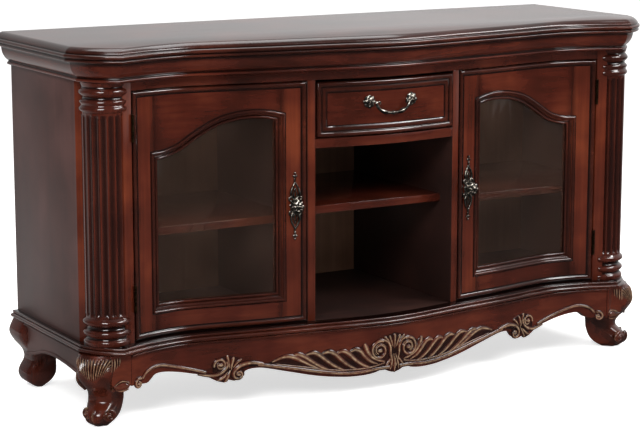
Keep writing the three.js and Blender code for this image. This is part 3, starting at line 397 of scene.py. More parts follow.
def bent_board(loop, near, far, bevel=0.0, shade=0.0, on=on_front, pitch=SLICE):
    """A flat outline made a board between two depths and bent to the front, or to what on follows. With
    shade, the board is also darker towards its edges: glazing, and painted shade beside the mouldings."""
    bm = bmesh.new()
    verts = [bm.verts.new((x, 0, z)) for x, z in loop]
    for i, vert in enumerate(verts):
        bm.edges.new((vert, verts[(i + 1) % len(verts)]))
    bmesh.ops.triangle_fill(bm, use_beauty=True, use_dissolve=False, edges=bm.edges[:])
    bmesh.ops.translate(bm, vec=(0, near, 0), verts=bm.verts)
    made = bmesh.ops.extrude_face_region(bm, geom=bm.faces[:])["geom"]
    moved = [item for item in made if isinstance(item, bmesh.types.BMVert)]
    bmesh.ops.translate(bm, vec=(0, far - near, 0), verts=moved)
    bmesh.ops.recalc_face_normals(bm, faces=bm.faces)
    if bevel:
        rim = [e for e in bm.edges if e.is_manifold and e.calc_face_angle(0) > BOARD_EDGE]
        bmesh.ops.bevel(bm, geom=rim, offset=bevel, segments=2, profile=0.5, affect="EDGES", material=-1)
    for axis in (0, 2) if shade else (0,):
        low, high = min(v.co[axis] for v in bm.verts), max(v.co[axis] for v in bm.verts)
        cuts = int((high - low) / pitch)
        for i in range(1, cuts):
            at, way = [0, 0, 0], [0, 0, 0]
            at[axis], way[axis] = low + (high - low) * i / cuts, 1
            everything = bm.verts[:] + bm.edges[:] + bm.faces[:]
            bmesh.ops.bisect_plane(bm, geom=everything, dist=1e-6, plane_co=at, plane_no=way)
    glaze = bm.verts.layers.float.new("glaze")
    for vert in bm.verts:
        # painted shade with the glazing, darker near the board's edges
        if shade:
            inside = distance_to(loop, vert.co.x, vert.co.z) / SHADE_WIDE
            vert[glaze] = shade * max(0.0, 1 - inside) ** 1.5
        vert.co = on(vert.co.x, vert.co.y, vert.co.z)
    return bm


def mitred_loop(points, closed=True):
    """Each point of a line in a plane, with the way a moulding's width runs there."""
    placed = []
    count = len(points)
    turn = sum(a[0] * b[1] - b[0] * a[1] for a, b in zip(points, points[1:] + points[:1]))
    way = 1 if turn > 0 or not closed else -1
    for i, point in enumerate(points):
        before = points[i - 1] if closed or i else point
        after = points[(i + 1) % count] if closed or i < count - 1 else point
        normals = []
        for a, b in ((before, point), (point, after)):
            run = Vector((b[0] - a[0], b[1] - a[1]))
            if run.length > 0:
                run.normalize()
                normals.append(Vector((run.y * way, -run.x * way)))
        if len(normals) == 1:
            mitre = normals[0]
        else:
            mitre = (normals[0] + normals[1]) / (1 + normals[0].dot(normals[1]))
        placed.append((Vector(point), mitre))
    return placed


def along_front(loop, section, clear):
    """Rings for a moulding on a closed line on the front. Facet lines near a corner are left out."""
    points = []
    for (ax, az), (bx, bz) in zip(loop, loop[1:] + loop[:1]):
        length = math.hypot(bx - ax, bz - az)
        pieces = max(1, int(length / SLICE))
        for i in range(pieces):
            t = i / pieces
            if i == 0 or (t * length > clear and (1 - t) * length > clear):
                points.append((ax + (bx - ax) * t, az + (bz - az) * t))
    return [
        [on_front(at.x + mitre.x * out, depth, at.y + mitre.y * out) for out, depth in section]
        for at, mitre in mitred_loop(points)
    ]


print("helpers for shapes ready")

# %% [markdown]
# ## The outline of the top
# The mouldings all follow the top: its bowed front, the bowed cant at each corner, and the straight
# sides. At the corners the real mouldings are mitred, so each point keeps the way its mitre runs.

# %% Outline of the top
FRONT_STEPS, CANT_STEPS, SIDE_STEPS = 54, 12, 6
BEHIND_CANT = FRONT_Y + 0.2


def half_outline():
    xs = [CORNER_X * i / FRONT_STEPS for i in range(FRONT_STEPS + 1)]
    points = [(x, FRONT_Y + set_back(x)) for x in xs]
    start = Vector(points[-1])
    chord = Vector((CORNER_ACROSS, CORNER_BACK))
    out = Vector((CORNER_BACK, -CORNER_ACROSS)).normalized()
    for i in range(1, CANT_STEPS + 1):
        t = i / CANT_STEPS
        at = start + chord * t + out * (CORNER_BOW * 4 * t * (1 - t))
        points.append(tuple(at))
    side_y = points[-1][1]
    for i in range(1, SIDE_STEPS + 1):
        points.append((FLAT_HALF, side_y + (BACK_Y - side_y) * i / SIDE_STEPS))
    return points


right_half = half_outline()
top_line = [(-x, y) for x, y in reversed(right_half[1:])] + right_half
top_mitres = mitred_loop(top_line, closed=False)
middle = len(right_half) - 1
cant_ends = (FRONT_STEPS, FRONT_STEPS + CANT_STEPS)
mitre_points = {middle + way * step for way in (1, -1) for step in cant_ends}
print("points round the top:", len(top_line), "mitres:", len(mitre_points))


def top_rings(section, inward=0.0, corner_inward=0.0):
    """Rings round the top: the face as (out, z) points, then two points behind it."""
    rings = []
    for at, mitre in top_mitres:
        ring = [Vector((at.x + mitre.x * out, at.y + mitre.y * out, z)) for out, z in section]
        if inward:
            on_cant = abs(at.x) > CORNER_X - 0.004 and at.y < BEHIND_CANT
            behind = at - mitre * (corner_inward if on_cant else inward)
            ring += [Vector((behind.x, behind.y, section[k][1])) for k in (-1, 0)]
        rings.append(ring)
    return rings


# %% [markdown]
# ## Top board, cornice and base moulding
# The top's edge is a thumbnail over a double bead. Under it a cove steps in to the case and ends in a
# bead, and the base has a ledge and a half round. All three are sections that follow the outline: the
# top's edge is a stack of outlines from its face down, and the other two are swept round it.

# %% Top board
TOP_THICK = 0.033
# Share of the edge's width, share of its height, and how dark it is there: painted shade in the grooves and a
# painted dark reflection on the thumbnail, with the glazing
TOP_EDGE = [
    (0, 0, 0), (0.2, 0.03, 0.4), (0.45, 0.12, 0.5), (0.68, 0.26, 0.3), (0.76, 0.36, 0.2), (0.7, 0.42, 1),
    (0.84, 0.44, 0.6), (0.97, 0.5, 0), (1, 0.58, 0), (0.95, 0.67, 0.2), (0.8, 0.73, 1), (0.8, 0.77, 1),
    (0.9, 0.82, 0.1), (0.9, 0.9, 0), (0.78, 0.965, 0.4), (0.5, 1, 1),
]


def in_size(shares, wide, high, top):
    return [(share[0] * wide, top - share[1] * high, *share[2:]) for share in shares]


def with_glaze(shares):
    """Adds painted shade to a section, with the glazing: up to 1 where it turns inward, as in a groove, and 0
    elsewhere.
    """
    marks = [1.0]
    for (ax, ay), (bx, by), (cx, cy) in zip(shares, shares[1:], shares[2:]):
        cross = (cx - bx) * (by - ay) - (bx - ax) * (cy - by)
        size = math.hypot(bx - ax, by - ay) * math.hypot(cx - bx, cy - by) or 1
        marks.append(min(1.0, max(0.0, cross / size) * 1.8))
    return [(a, b, mark) for (a, b), mark in zip(shares, marks + [1.0])]


top_edge = rounded(in_size(TOP_EDGE, EDGE_OUT, TOP_THICK, TOP_HIGH))
levels = list(zip(*top_rings([(out, z) for out, z, glaze in top_edge])))
bm = sweep(levels, glaze=lambda row, i: top_edge[row][2], mitre=lambda row, i: float(i in mitre_points))
sharp = math.radians(30)
finish_piece("top_board_moulded", bm, "carcass", cherry_top, ["top_board"], angle=sharp)
print("points in the top's edge:", len(top_edge))

# %% Cornice and base moulding
CORNICE_HIGH, BASE_HIGH, BASE_TOP = 0.043, 0.017, 0.178
CASE_TOP = 0.7927
INTO_CASE, INTO_CORNER = 0.036, 0.075  # how far in the mouldings reach, on the front and on a cant
# Shares of the height: out from the edge of the top's flat, and down
CORNICE = [
    (0.14, 0), (0.107, 0.051), (0.093, 0.186), (0.056, 0.349), (-0.023, 0.512), (-0.14, 0.663),
    (-0.288, 0.779), (-0.279, 0.814), (-0.219, 0.851), (-0.191, 0.907), (-0.219, 0.967), (-0.288, 1),
]
BASE = [
    (-0.494, 0), (-0.341, 0.059), (-0.294, 0.188), (-0.353, 0.306), (-0.471, 0.353), (-0.271, 0.4),
    (-0.071, 0.518), (0, 0.671), (-0.059, 0.835), (-0.247, 0.965), (-0.435, 1),
]
case_mouldings = [
    ("cornice", CORNICE, CORNICE_HIGH, CASE_TOP, cherry_level, "cherry"),
    ("base_moulding", BASE, BASE_HIGH, BASE_TOP, cherry_dark, "dark_cherry"),
]
for name, shares, high, top, wood, slot in case_mouldings:
    section = rounded(in_size(with_glaze(shares), high, high, top), 2)
    marks = [glaze for out, z, glaze in section] + [1.0, 1.0]
    rings = top_rings([(out, z) for out, z, glaze in section], INTO_CASE, INTO_CORNER)
    bm = sweep(rings, glaze=lambda row, i: marks[i], mitre=lambda row, i: float(row in mitre_points))
    replaced = [f"{name}_{part}" for part in ("left", "front", "right")]
    finish_piece(f"{name}_swept", bm, "carcass", wood, replaced)
    print(name, "section points:", len(section))

# %% [markdown]
# ## Fluted columns
# Each corner carries a turned half column. The shaft's section is a ring with nine hollows, carried up
# the shaft and run out flat at both ends. The rings above and below are one outline each, spun.

# %% Columns
# The cant runs between the places where it meets the doors' face and the side of the case.
MEET_FACE = on_front(0.6475, 0, 0).to_2d()
MEET_SIDE = Vector((0.724, FRONT_Y + 0.152))
CANT_WAY = (MEET_SIDE - MEET_FACE).normalized()
CANT_OUT = Vector((CANT_WAY.y, -CANT_WAY.x))
COLUMN_ALONG, COLUMN_SUNK = 0.047, 0.009
COLUMN_AXIS = MEET_FACE + CANT_WAY * COLUMN_ALONG - CANT_OUT * COLUMN_SUNK
SHAFT_R = 0.0475
GROOVE_R = SHAFT_R * 1.01
RING_STEPS = 40
FLUTES, FLUTE_STEPS, FLUTE_DEEP = 9, 10, 0.004
COLUMN_LOW, COLUMN_HIGH = 0.1783, 0.7494
BASE_RINGS_HIGH, CAPITAL_HIGH = 0.060, 0.0645
# Share of the height in from the column's end, and the radius as a share of the shaft's
BASE_RINGS = [
    (0, 1.095), (0.1, 1.116), (0.167, 1.095), (0.217, 1.011), (0.283, 0.981), (0.333, 1.044),
    (0.392, 1.116), (0.475, 1.124), (0.533, 1.065), (0.583, 0.958), (0.65, 0.926), (0.708, 0.968),
    (0.75, 1.074), (0.817, 1.145), (0.9, 1.124), (0.958, 1.053), (1, 1),
]
CAPITAL_RINGS = [
    (0, 1.053), (0.109, 1.023), (0.163, 0.981), (0.225, 1.061), (0.295, 1.124), (0.372, 1.116),
    (0.434, 1.044), (0.488, 0.968), (0.543, 0.981), (0.589, 1.065), (0.651, 1.107), (0.713, 1.065),
    (0.76, 1.023), (0.814, 1.086), (0.884, 1.128), (0.953, 1.086), (1, 1),
]
# How far in from the shaft's end, and how deep the flutes are there
FLUTE_ENDS = [(-0.001, 0), (0.004, 0), (0.0065, 0.7), (0.011, 1)]


def shaft_ring(z, deep):
    ring = []
    start = math.atan2(CANT_WAY.y, CANT_WAY.x) + math.pi
    for i in range(FLUTES * FLUTE_STEPS):
        along = (i % FLUTE_STEPS) / FLUTE_STEPS
        hollow = math.sin(math.pi * min(max((along - 0.1) / 0.8, 0), 1)) ** 0.8
        angle = start + math.pi * i / (FLUTES * FLUTE_STEPS)
        at = COLUMN_AXIS + Vector((math.cos(angle), math.sin(angle))) * (SHAFT_R - FLUTE_DEEP * hollow * deep)
        ring.append(Vector((at.x, at.y, z)))
    end = COLUMN_AXIS + CANT_WAY * SHAFT_R
    return ring + [Vector((end.x, end.y, z))]


def spun_rings(bm, shares, start, high):
    """The rings at one end of the column: half a turn, with the corner post behind, and painted shade
    with the glazing in the grooves between them."""
    glaze = bm.verts.layers.float["glaze"]
    verts = []
    for radius, z in rounded([(radius * SHAFT_R, start + along * high) for along, radius in shares]):
        side = COLUMN_AXIS - CANT_WAY * radius
        verts.append(bm.verts.new((side.x, side.y, z)))
        verts[-1][glaze] = 0.9 if radius < GROOVE_R else 0.0
    first, last = (bm.verts.new((COLUMN_AXIS.x, COLUMN_AXIS.y, verts[k].co.z)) for k in (0, -1))
    verts = [first, *verts, last]
    edges = [bm.edges.new(pair) for pair in zip(verts, verts[1:])]
    bmesh.ops.spin(
        bm, geom=verts + edges, cent=COLUMN_AXIS.to_3d(), axis=(0, 0, 1), angle=math.pi, steps=RING_STEPS,
        use_duplicate=False,
    )


def column():
    low, high = COLUMN_LOW + BASE_RINGS_HIGH, COLUMN_HIGH - CAPITAL_HIGH
    levels = [(low + inward, deep) for inward, deep in FLUTE_ENDS]
    levels += [(high - inward, deep) for inward, deep in reversed(FLUTE_ENDS)]
    # painted shade in each flute, with the glazing
    hollow = [math.sin(math.pi * (i % FLUTE_STEPS) / FLUTE_STEPS) * 0.8 for i in range(FLUTES * FLUTE_STEPS)]
    hollow.append(0.0)
    bm = sweep([shaft_ring(z, deep) for z, deep in levels], glaze=lambda row, i: hollow[i] * levels[row][1])
    spun_rings(bm, BASE_RINGS, COLUMN_LOW, BASE_RINGS_HIGH)
    spun_rings(bm, CAPITAL_RINGS, COLUMN_HIGH, -CAPITAL_HIGH)
    bmesh.ops.remove_doubles(bm, verts=bm.verts, dist=1e-6)
    return bm


for side, mirror in reversed(SIDES):
    name = f"column_{side}"
    piece = finish_piece(f"{name}_fluted", column(), "carcass", cherry_turned, [name], mirror)
    print(piece.name, "faces:", len(piece.data.polygons))

# %% [markdown]
# ## Doors
# A real door like this is two upright stiles and two rails, joined with the grain of each running its
# own way, so it is built from four boards and not cut from one. The top rail carries the arch. A
# raised moulding is swept round the glazed opening and a bead round the edge of the door.

# %% Door boards
DOOR_LOW, DOOR_HIGH = 0.181, 0.725
DOOR_HINGE, DOOR_LOCK = 0.6208, 0.206
GLASS_HINGE, GLASS_LOCK, GLASS_LOW = 0.552, 0.276, 0.251
ARCH_LOW, ARCH_RISE, ARCH_STEPS = 0.570, 0.078, 30
FACE_THICK = 0.020
MOULD_WIDE, RIM_WIDE = 0.022, 0.011
# Share of the way from the hinge side to the lock side, and share of the rise
ARCH = [
    (0, 0), (0.06, 0.02), (0.2, 0.17), (0.37, 0.54), (0.52, 0.82), (0.67, 0.96), (0.82, 1), (0.94, 0.96),
    (1, 0.91),
]
EASE = 0.0006  # how far sandpaper rounds an edge


def arch_points(grow):
    wide = GLASS_HINGE - GLASS_LOCK + 2 * grow
    points = []
    for i in range(ARCH_STEPS + 1):
        t = i / ARCH_STEPS
        points.append((GLASS_HINGE + grow - wide * t, ARCH_LOW + grow + ARCH_RISE * curve_through(ARCH, t)))
    return points


def opening(grow):
    """The outline of the glazed opening, made larger by grow all round."""
    low = GLASS_LOW - grow
    return arch_points(grow) + [(GLASS_LOCK - grow, low), (GLASS_HINGE + grow, low)]


def rectangle(x0, x1, z0, z1):
    return [(x0, z0), (x1, z0), (x1, z1), (x0, z1)]


def door_piece(side, mirror, name, bm, material, node="frame"):
    stands_for = [f"door_{side}_{node}"]
    finish_piece(f"door_{side}_{name}", bm, f"door_{side}", material, stands_for, mirror)


half = MOULD_WIDE / 2
inner_low, inner_high = GLASS_LOCK - half, GLASS_HINGE + half
door_boards = {
    "stile_hinge": (rectangle(inner_high, DOOR_HINGE, DOOR_LOW, DOOR_HIGH), cherry_upright),
    "stile_lock": (rectangle(DOOR_LOCK, inner_low, DOOR_LOW, DOOR_HIGH), cherry_upright),
    "rail_low": (rectangle(inner_low, inner_high, DOOR_LOW, GLASS_LOW - half), cherry_level),
    "rail_arched": (arch_points(half) + [(inner_low, DOOR_HIGH), (inner_high, DOOR_HIGH)], cherry_level),
}
for side, mirror in SIDES:
    for part, (loop, wood) in door_boards.items():
        door_piece(side, mirror, part, bent_board(loop, 0, FACE_THICK, EASE, shade=0.6), wood)
print("boards in each door:", len(door_boards))

# %% Door mouldings
# Share of the width out from the opening, share of it behind the face, and the painted shade there, with the
# glazing
OPENING_BEAD = [
    (0, 0.491, 1), (0, 0.36, 1), (0.05, 0.26, 0.2), (0.16, 0.21, 0), (0.26, 0.26, 0.2), (0.3, 0.33, 1),
    (0.36, 0.27, 0.5), (0.46, 0.12, 0), (0.56, 0.04, 0.2), (0.6, 0.05, 1), (0.64, -0.08, 0.2),
    (0.76, -0.17, 0), (0.88, -0.1, 0.2), (0.92, 0, 1), (1, -0.01, 0.9), (1, 0.491, 1),
]
RIM_BEAD = [
    (-1.25, 0.3, 1), (-1.25, -0.01, 0.9), (-0.95, -0.01, 1), (-0.85, -0.15, 0.2), (-0.6, -0.3, 0),
    (-0.35, -0.3, 0), (-0.12, -0.16, 0.2), (-0.04, 0, 0.8), (0, 0.06, 1), (0, 0.3, 1),
]
CORNER_CLEAR = 1.3  # widths of the moulding next to a corner that have no facet line


def front_moulding(loop, shares, wide):
    """The face of the section is rounded off, and its two corners behind stay where they are."""
    scaled = [(out * wide, depth * wide, glaze) for out, depth, glaze in shares]
    section = [scaled[0]] + rounded(scaled[1:-1]) + [scaled[-1]]
    rings = along_front(loop, [(out, depth) for out, depth, glaze in section], wide * CORNER_CLEAR)
    return sweep(rings, endless=True, glaze=lambda row, i: section[i][2])


door_edge = rectangle(DOOR_LOCK, DOOR_HINGE, DOOR_LOW, DOOR_HIGH)
door_mouldings = {
    "glazing_moulding": (opening(0), OPENING_BEAD, MOULD_WIDE), "rim_bead": (door_edge, RIM_BEAD, RIM_WIDE),
}
for side, mirror in SIDES:
    for name, shape in door_mouldings.items():
        door_piece(side, mirror, name, front_moulding(*shape), cherry_dark)
print("mouldings on each door:", len(door_mouldings))

# %% [markdown]
# ## Panes
# Each pane is a sheet of 4 mm glass that was slumped to the door's curve, so it is the outline of the
# opening, a little larger, made a board and bent as the door is. Its thin arris is ground, and shows
# as a bright line.

# %% Panes
GLASS_DEPTH, GLASS_THICK, PANE_GROW, ARRIS = 0.0113, 0.004, 0.0077, 0.0004
for side, mirror in SIDES:
    bm = bent_board(opening(PANE_GROW), GLASS_DEPTH, GLASS_DEPTH + GLASS_THICK, ARRIS)
    door_piece(side, mirror, "pane", bm, pane_glass, "glass")
print("panes:", 2)

# %% [markdown]
# ## Rails and drawer front
# The top rail and the drawer rail are bent boards. The drawer's face is a bowed board with a double
# bead round a raised field; behind, it is flat, so its back points are moved to one plane.

# %% Rails
POST_INNER, BAY_HALF = 0.624, 0.1845
JOINT = 0.0003  # the fine line between two boards
rails = [("top_rail", POST_INNER, 0.7275, CASE_TOP), ("drawer_rail", BAY_HALF, 0.574, 0.595)]
for name, half, low, high in rails:
    bm = bent_board(rectangle(JOINT - half, half - JOINT, low, high), 0, FACE_THICK, EASE)
    finish_piece(f"{name}_bent", bm, "carcass", cherry_level, [name])
print("rails:", len(rails))

# %% Drawer front
DRAWER_HALF, DRAWER_LOW, DRAWER_HIGH = 0.1818, 0.598, 0.722
DRAWER_FLAT_Y = FRONT_Y + 0.076
DRAWER_BORDER = 0.024
# The same three for the drawer's border: out, behind the face, and the painted shade with the glazing
DRAWER_BEAD = [
    (-1.08, 0.125, 1), (-1.08, -0.005, 0.9), (-0.98, -0.005, 1), (-0.92, -0.07, 0.2), (-0.78, -0.1, 0),
    (-0.62, -0.1, 0), (-0.52, -0.06, 1), (-0.46, -0.06, 1), (-0.4, -0.15, 0.2), (-0.22, -0.22, 0),
    (-0.08, -0.18, 0.1), (-0.02, -0.03, 0.8), (0, 0.02, 1), (0, 0.125, 1),
]
drawer_edge = rectangle(-DRAWER_HALF, DRAWER_HALF, DRAWER_LOW, DRAWER_HIGH)
bm = bent_board(drawer_edge, 0, FACE_THICK, EASE, shade=0.5)
for vert in bm.verts:
    if vert.co.y > on_front(vert.co.x, FACE_THICK / 2, 0).y:
        vert.co.y = DRAWER_FLAT_Y
finish_piece("drawer_front_board", bm, "drawer", cherry_level, ["drawer_front"])
bm = front_moulding(drawer_edge, DRAWER_BEAD, DRAWER_BORDER)
finish_piece("drawer_front_moulding", bm, "drawer", cherry_dark, ["drawer_front"])
print("drawer front is", round(2000 * DRAWER_HALF, 1), "mm wide")

# %% [markdown]
# ## Plain boards
# Side panels, posts, partitions, shelves and the deck are plain boards. The frame's own meshes have
# razor edges, and a real board never has: sandpaper takes them off, and the thin round it leaves
# catches the light. So each is a copy of the frame's mesh, merged, cleaned and bevelled. The faces of
# a partition take the wood of the inside, which is sealed and not lacquered, and stained darker as
# painted shade; only its front edge takes the lacquered cherry.

# %% Boards with eased edges
SHARP_EDGE, SIDEWAYS = 0.6, 0.9


def eased_board(node, material, body="carcass"):
    bm = bmesh.new()
    bm.from_mesh(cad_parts[node].data)
    bmesh.ops.remove_doubles(bm, verts=bm.verts, dist=1e-5)
    bmesh.ops.dissolve_limit(bm, angle_limit=0.02, verts=bm.verts, edges=bm.edges)
    rim = [e for e in bm.edges if e.is_manifold and e.calc_face_angle(0) > SHARP_EDGE]
    bmesh.ops.bevel(bm, geom=rim, offset=EASE, segments=2, profile=0.5, affect="EDGES", material=-1)
    return finish_piece(f"{node}_eased", bm, body, material, [node])


for side in ("left", "right"):
    eased_board(f"side_panel_{side}", cherry_side_painted_sheen)
    eased_board(f"corner_post_{side}", cherry_upright)
    partition = eased_board(f"partition_{side}", cherry_upright)
    # the partition's faces take the darker inside wood: painted shade in the bay
    partition.data.materials.append(inside_wood_painted_shade)
    for face in partition.data.polygons:
        face.material_index = int(abs(face.normal.x) > SIDEWAYS)
    eased_board(f"shelf_{side}", cherry_level)
    eased_board(f"drawer_side_{side}", inside_wood_painted_shade, "drawer")
eased_board("shelf_centre", cherry_level)
eased_board("deck_board", inside_wood_painted_shade)

# %% Finishes for the frame's own pieces
finishes = {
    "hinge_": hinge_brass, "door_catch": catch_plastic, "door_left_glass_retainer": cherry_dark,
    # the back panel's veneer is lightened as painted light inside the glazed compartments
    "door_right_glass_retainer": cherry_dark, "back_panel": back_veneer_painted_light, "drawer_": inside_wood_painted_shade,
}
for node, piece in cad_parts.items():
    finish = next((finishes[start] for start in finishes if node.startswith(start)), None)
    if finish and not piece.hide_render:
        for slot in piece.material_slots:
            slot.material = finish
print("frame pieces that still show:", sum(not o.hide_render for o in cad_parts.values()))

# %% [markdown]
# ## Handles
# The pulls are cast: openwork plates with flower knobs on the doors, and two rosettes with a swinging
# bail on the drawer. A plate is made of round rods that follow its scrolls, with a cluster of beads at
# each tip. Knobs and rosettes are spun, and their rims are drawn into petals. The bail is one more rod,
# carried along its bent line, with a curl near each end.

# %% Helpers for rods and turned pieces
TURNED_STEPS = 64
BEAD_FLAT = 0.75  # a bead's height over its plate, as a share of its width


def rod_rings(path, sides):
    """Rings of a round rod through (point, radius) pairs, each ring square to the path."""
    rings = []
    lean = Vector((0, 1, 0.001))
    for i, (point, radius) in enumerate(path):
        before = path[max(i - 1, 0)][0]
        after = path[min(i + 1, len(path) - 1)][0]
        way = (after - before).normalized()
        lean = (lean - way * lean.dot(way)).normalized()
        across = way.cross(lean)
        angles = [2 * math.pi * k / sides for k in range(sides)]
        rings.append([point + (lean * math.cos(a) + across * math.sin(a)) * radius for a in angles])
    return rings


def smooth_path(points, per_step):
    """A smooth line through points of any number of parts, with per_step pieces between two of them."""
    line = []
    last = len(points) - 1
    for i in range(last):
        near = [points[max(i - 1, 0)], points[i], points[i + 1], points[min(i + 2, last)]]
        for t in (k / per_step for k in range(per_step)):
            line.append(tuple(
                0.5 * (2 * b + (c - a) * t + (2 * a - 5 * b + 4 * c - d) * t * t
                       + (3 * b - a - 3 * c + d) * t ** 3)
                for a, b, c, d in zip(*near)
            ))
    return line + [tuple(points[-1])]


def turned(profile):
    """A turned piece on the Y axis: (metres out along -Y, radius in millimetres) points, spun once round."""
    bm = bmesh.new()
    verts = [bm.verts.new((radius / 1000, -out, 0)) for out, radius in smooth_path(profile, 3)]
    edges = [bm.edges.new(pair) for pair in zip(verts, verts[1:])]
    bmesh.ops.spin(
        bm, geom=verts + edges, cent=(0, 0, 0), axis=(0, 1, 0), angle=2 * math.pi, steps=TURNED_STEPS,
        use_merge=True, use_duplicate=False,
    )
    bmesh.ops.remove_doubles(bm, verts=bm.verts, dist=1e-6)
    open_edges = [e for e in bm.edges if e.is_boundary]
    if open_edges:
        bmesh.ops.holes_fill(bm, edges=open_edges, sides=0)
    return bm


def petalled(bm, radius, inner, pinch, cup):
    """Turns the rim of a turned piece into petals: drawn in and laid back between each two of them."""
    for vert in bm.verts:
        away = math.hypot(vert.co.x, vert.co.z)
        outer = min(1.0, max(0.0, (away / radius - inner) / (1 - inner)))
        between_two = 1 - abs(math.cos(PETALS * math.atan2(vert.co.z, vert.co.x) / 2))
        vert.co.y += outer * cup * between_two
        vert.co.x *= 1 - pinch * outer * between_two
        vert.co.z *= 1 - pinch * outer * between_two
    return bm


def put(bm, x, depth, z):
    """Turns a piece that was made at the origin to the front at x, and moves it there."""
    lean = math.atan2(set_back(x + 0.02) - set_back(x - 0.02), 0.04)
    bmesh.ops.rotate(bm, cent=(0, 0, 0), matrix=Matrix.Rotation(lean, 3, "Z"), verts=bm.verts)
    bmesh.ops.translate(bm, vec=on_front(x, depth, z), verts=bm.verts)
    return bm


def together(parts):
    """Several shapes made one piece, as the foundry pours them in one mould."""
    whole, mesh = bmesh.new(), bpy.data.meshes.new("together")
    for bm in parts:
        bm.to_mesh(mesh)
        bm.free()
        whole.from_mesh(mesh)
    bpy.data.meshes.remove(mesh)
    return whole


def bead(x, z, out, radius):
    """A cast bead at (x, z, out) in millimetres from the pull's middle, a little flattened."""
    bm = bmesh.new()
    bmesh.ops.create_uvsphere(bm, u_segments=14, v_segments=9, radius=radius / 1000)
    bmesh.ops.scale(bm, vec=(1, BEAD_FLAT, 1), verts=bm.verts)
    bmesh.ops.translate(bm, vec=(x / 1000, -out / 1000, z / 1000), verts=bm.verts)
    return bm


def bead_ring(count, radius, out, size):
    angles = [2 * math.pi * i / count for i in range(count)]
    return [bead(radius * math.cos(a), radius * math.sin(a), out, size) for a in angles]


print("helpers for handles ready")

# %% Door pulls
PULL_X, PULL_Z = 0.234, 0.447
# Lines of one arm of the openwork plate, from the middle up, as (x, z, out, radius) in millimetres
PULL_LOOP = [
    (1, 13, 2, 2.5), (7, 19, 2.6, 2.7), (10, 28, 2.8, 2.9), (8, 38, 2.6, 2.6), (3.5, 47, 2.4, 2.2),
    (0, 54, 2, 2),
]
PULL_LEAF = [(0.5, 15, 2, 2), (3.5, 24, 2.6, 1.9), (2.5, 33, 2.4, 1.6), (0, 41, 2, 1.1)]
PULL_CURL = [
    (3, 14, 2.4, 2.2), (9, 11, 2.8, 2.5), (14, 14, 3, 2.3), (13.5, 20, 2.8, 2), (9.5, 19.5, 2.8, 1.8),
]
PULL_STEM = [(0, 51, 1.8, 2.1), (1.5, 56, 2, 1.9), (0.5, 62, 2, 1.7), (0, 70, 1.8, 1.4)]
PULL_TIPS = [(0, 60.5, 2.2, 3), (3.2, 68, 2.2, 2.7), (-3.2, 68, 2.2, 2.7), (0, 74.5, 2.2, 3)]
# (metres out from the face, radius in millimetres)
KNOB = [
    (0, 9), (0.0012, 13), (0.0026, 12.5), (0.0034, 7), (0.007, 4.2), (0.0125, 4.4), (0.0155, 7),
    (0.0175, 12.5), (0.0198, 15.6), (0.022, 15), (0.0235, 11.5), (0.0243, 8.5), (0.0262, 6), (0.0285, 3),
    (0.029, 0),
]
PETALS = 8
KNOB_CLEAR, ROSETTE_CLEAR = 0.0006, 0.0003  # before the face that each stands on


def cast_rod(points, x_way, z_way):
    """A rod on the door through (x, z, out, radius) points in millimetres, measured from the knob."""
    path = []
    for x, z, out, radius in smooth_path(points, 4):
        at = on_front(PULL_X + x_way * x / 1000, -out / 1000, PULL_Z + z_way * z / 1000)
        path.append((at, radius / 1000))
    return sweep(rod_rings(path, 10))


for side, mirror in SIDES:
    rods = []
    for z_way in (1, -1):
        for line in (PULL_LOOP, PULL_LEAF, PULL_CURL):
            rods += [cast_rod(line, x_way, z_way) for x_way in (1, -1)]
        rods.append(cast_rod(PULL_STEM, 1, z_way))
        rods += [put(bead(x, z_way * z, out, radius), PULL_X, 0, PULL_Z) for x, z, out, radius in PULL_TIPS]
    door_piece(side, mirror, "pull_plate_cast", together(rods), pewter, "pull_plate")
    flower = petalled(turned(KNOB), radius=0.0156, inner=0.45, pinch=0.17, cup=0.0016)
    flower = together([flower] + bead_ring(PETALS, radius=8.6, out=24.6, size=2.2))
    bm = put(flower, PULL_X, -KNOB_CLEAR, PULL_Z)
    door_piece(side, mirror, "knob_flower", bm, pewter, "knob")
print("door pulls:", len(SIDES))

# %% Drawer pull
ROSETTE_X, ROSETTE_Z = 0.056, 0.673
ROSETTE = [
    (0, 14), (0.0012, 15.4), (0.003, 15), (0.0044, 11.5), (0.0052, 9.4), (0.0068, 8.8), (0.008, 6),
    (0.0092, 4.2), (0.015, 4.1), (0.0186, 3.4), (0.0194, 0),
]
BAIL_OUT, BAIL_DROP = 0.0143, 0.027
# (share of the half spread, share of the drop, radius in millimetres)
BAIL = [
    (1.125, 0, 1.5), (0.857, 0, 1.5), (0.804, 0.093, 3), (0.768, 0.333, 3.6), (0.66, 0.6, 3.4),
    (0.54, 0.78, 4.2), (0.43, 0.88, 5.2), (0.32, 0.94, 4.8), (0.24, 0.975, 3), (0.19, 0.98, 4.2),
    (0.14, 0.985, 3), (0.09, 0.99, 3.4), (0.02, 1, 5.6),
]
CURL_X, CURL_UNDER, CURL_REACH, CURL_THICK, CURL_STEPS = 0.0375, 0.0045, 0.0062, 0.0024, 14
for side, mirror in SIDES:
    rosette = petalled(turned(ROSETTE), radius=0.0154, inner=0.5, pinch=0.16, cup=0.0014)
    beads = bead_ring(PETALS, radius=10.4, out=5, size=1.9) + bead_ring(6, radius=6.4, out=7.6, size=1.7)
    bm = put(together([rosette] + beads), ROSETTE_X, -ROSETTE_CLEAR, ROSETTE_Z)
    name = f"drawer_rosette_{side}"
    finish_piece(f"{name}_cast", bm, "drawer", pewter, [name], mirror)
bail_y = on_front(ROSETTE_X, -BAIL_OUT, 0).y
half_bail = smooth_path(BAIL, 4)
whole = [(-x, down, r) for x, down, r in half_bail] + [(x, down, r) for x, down, r in reversed(half_bail)]
path = [(Vector((x * ROSETTE_X, bail_y, ROSETTE_Z - down * BAIL_DROP)), r / 1000) for x, down, r in whole]
rods = [sweep(rod_rings(path, 14))]
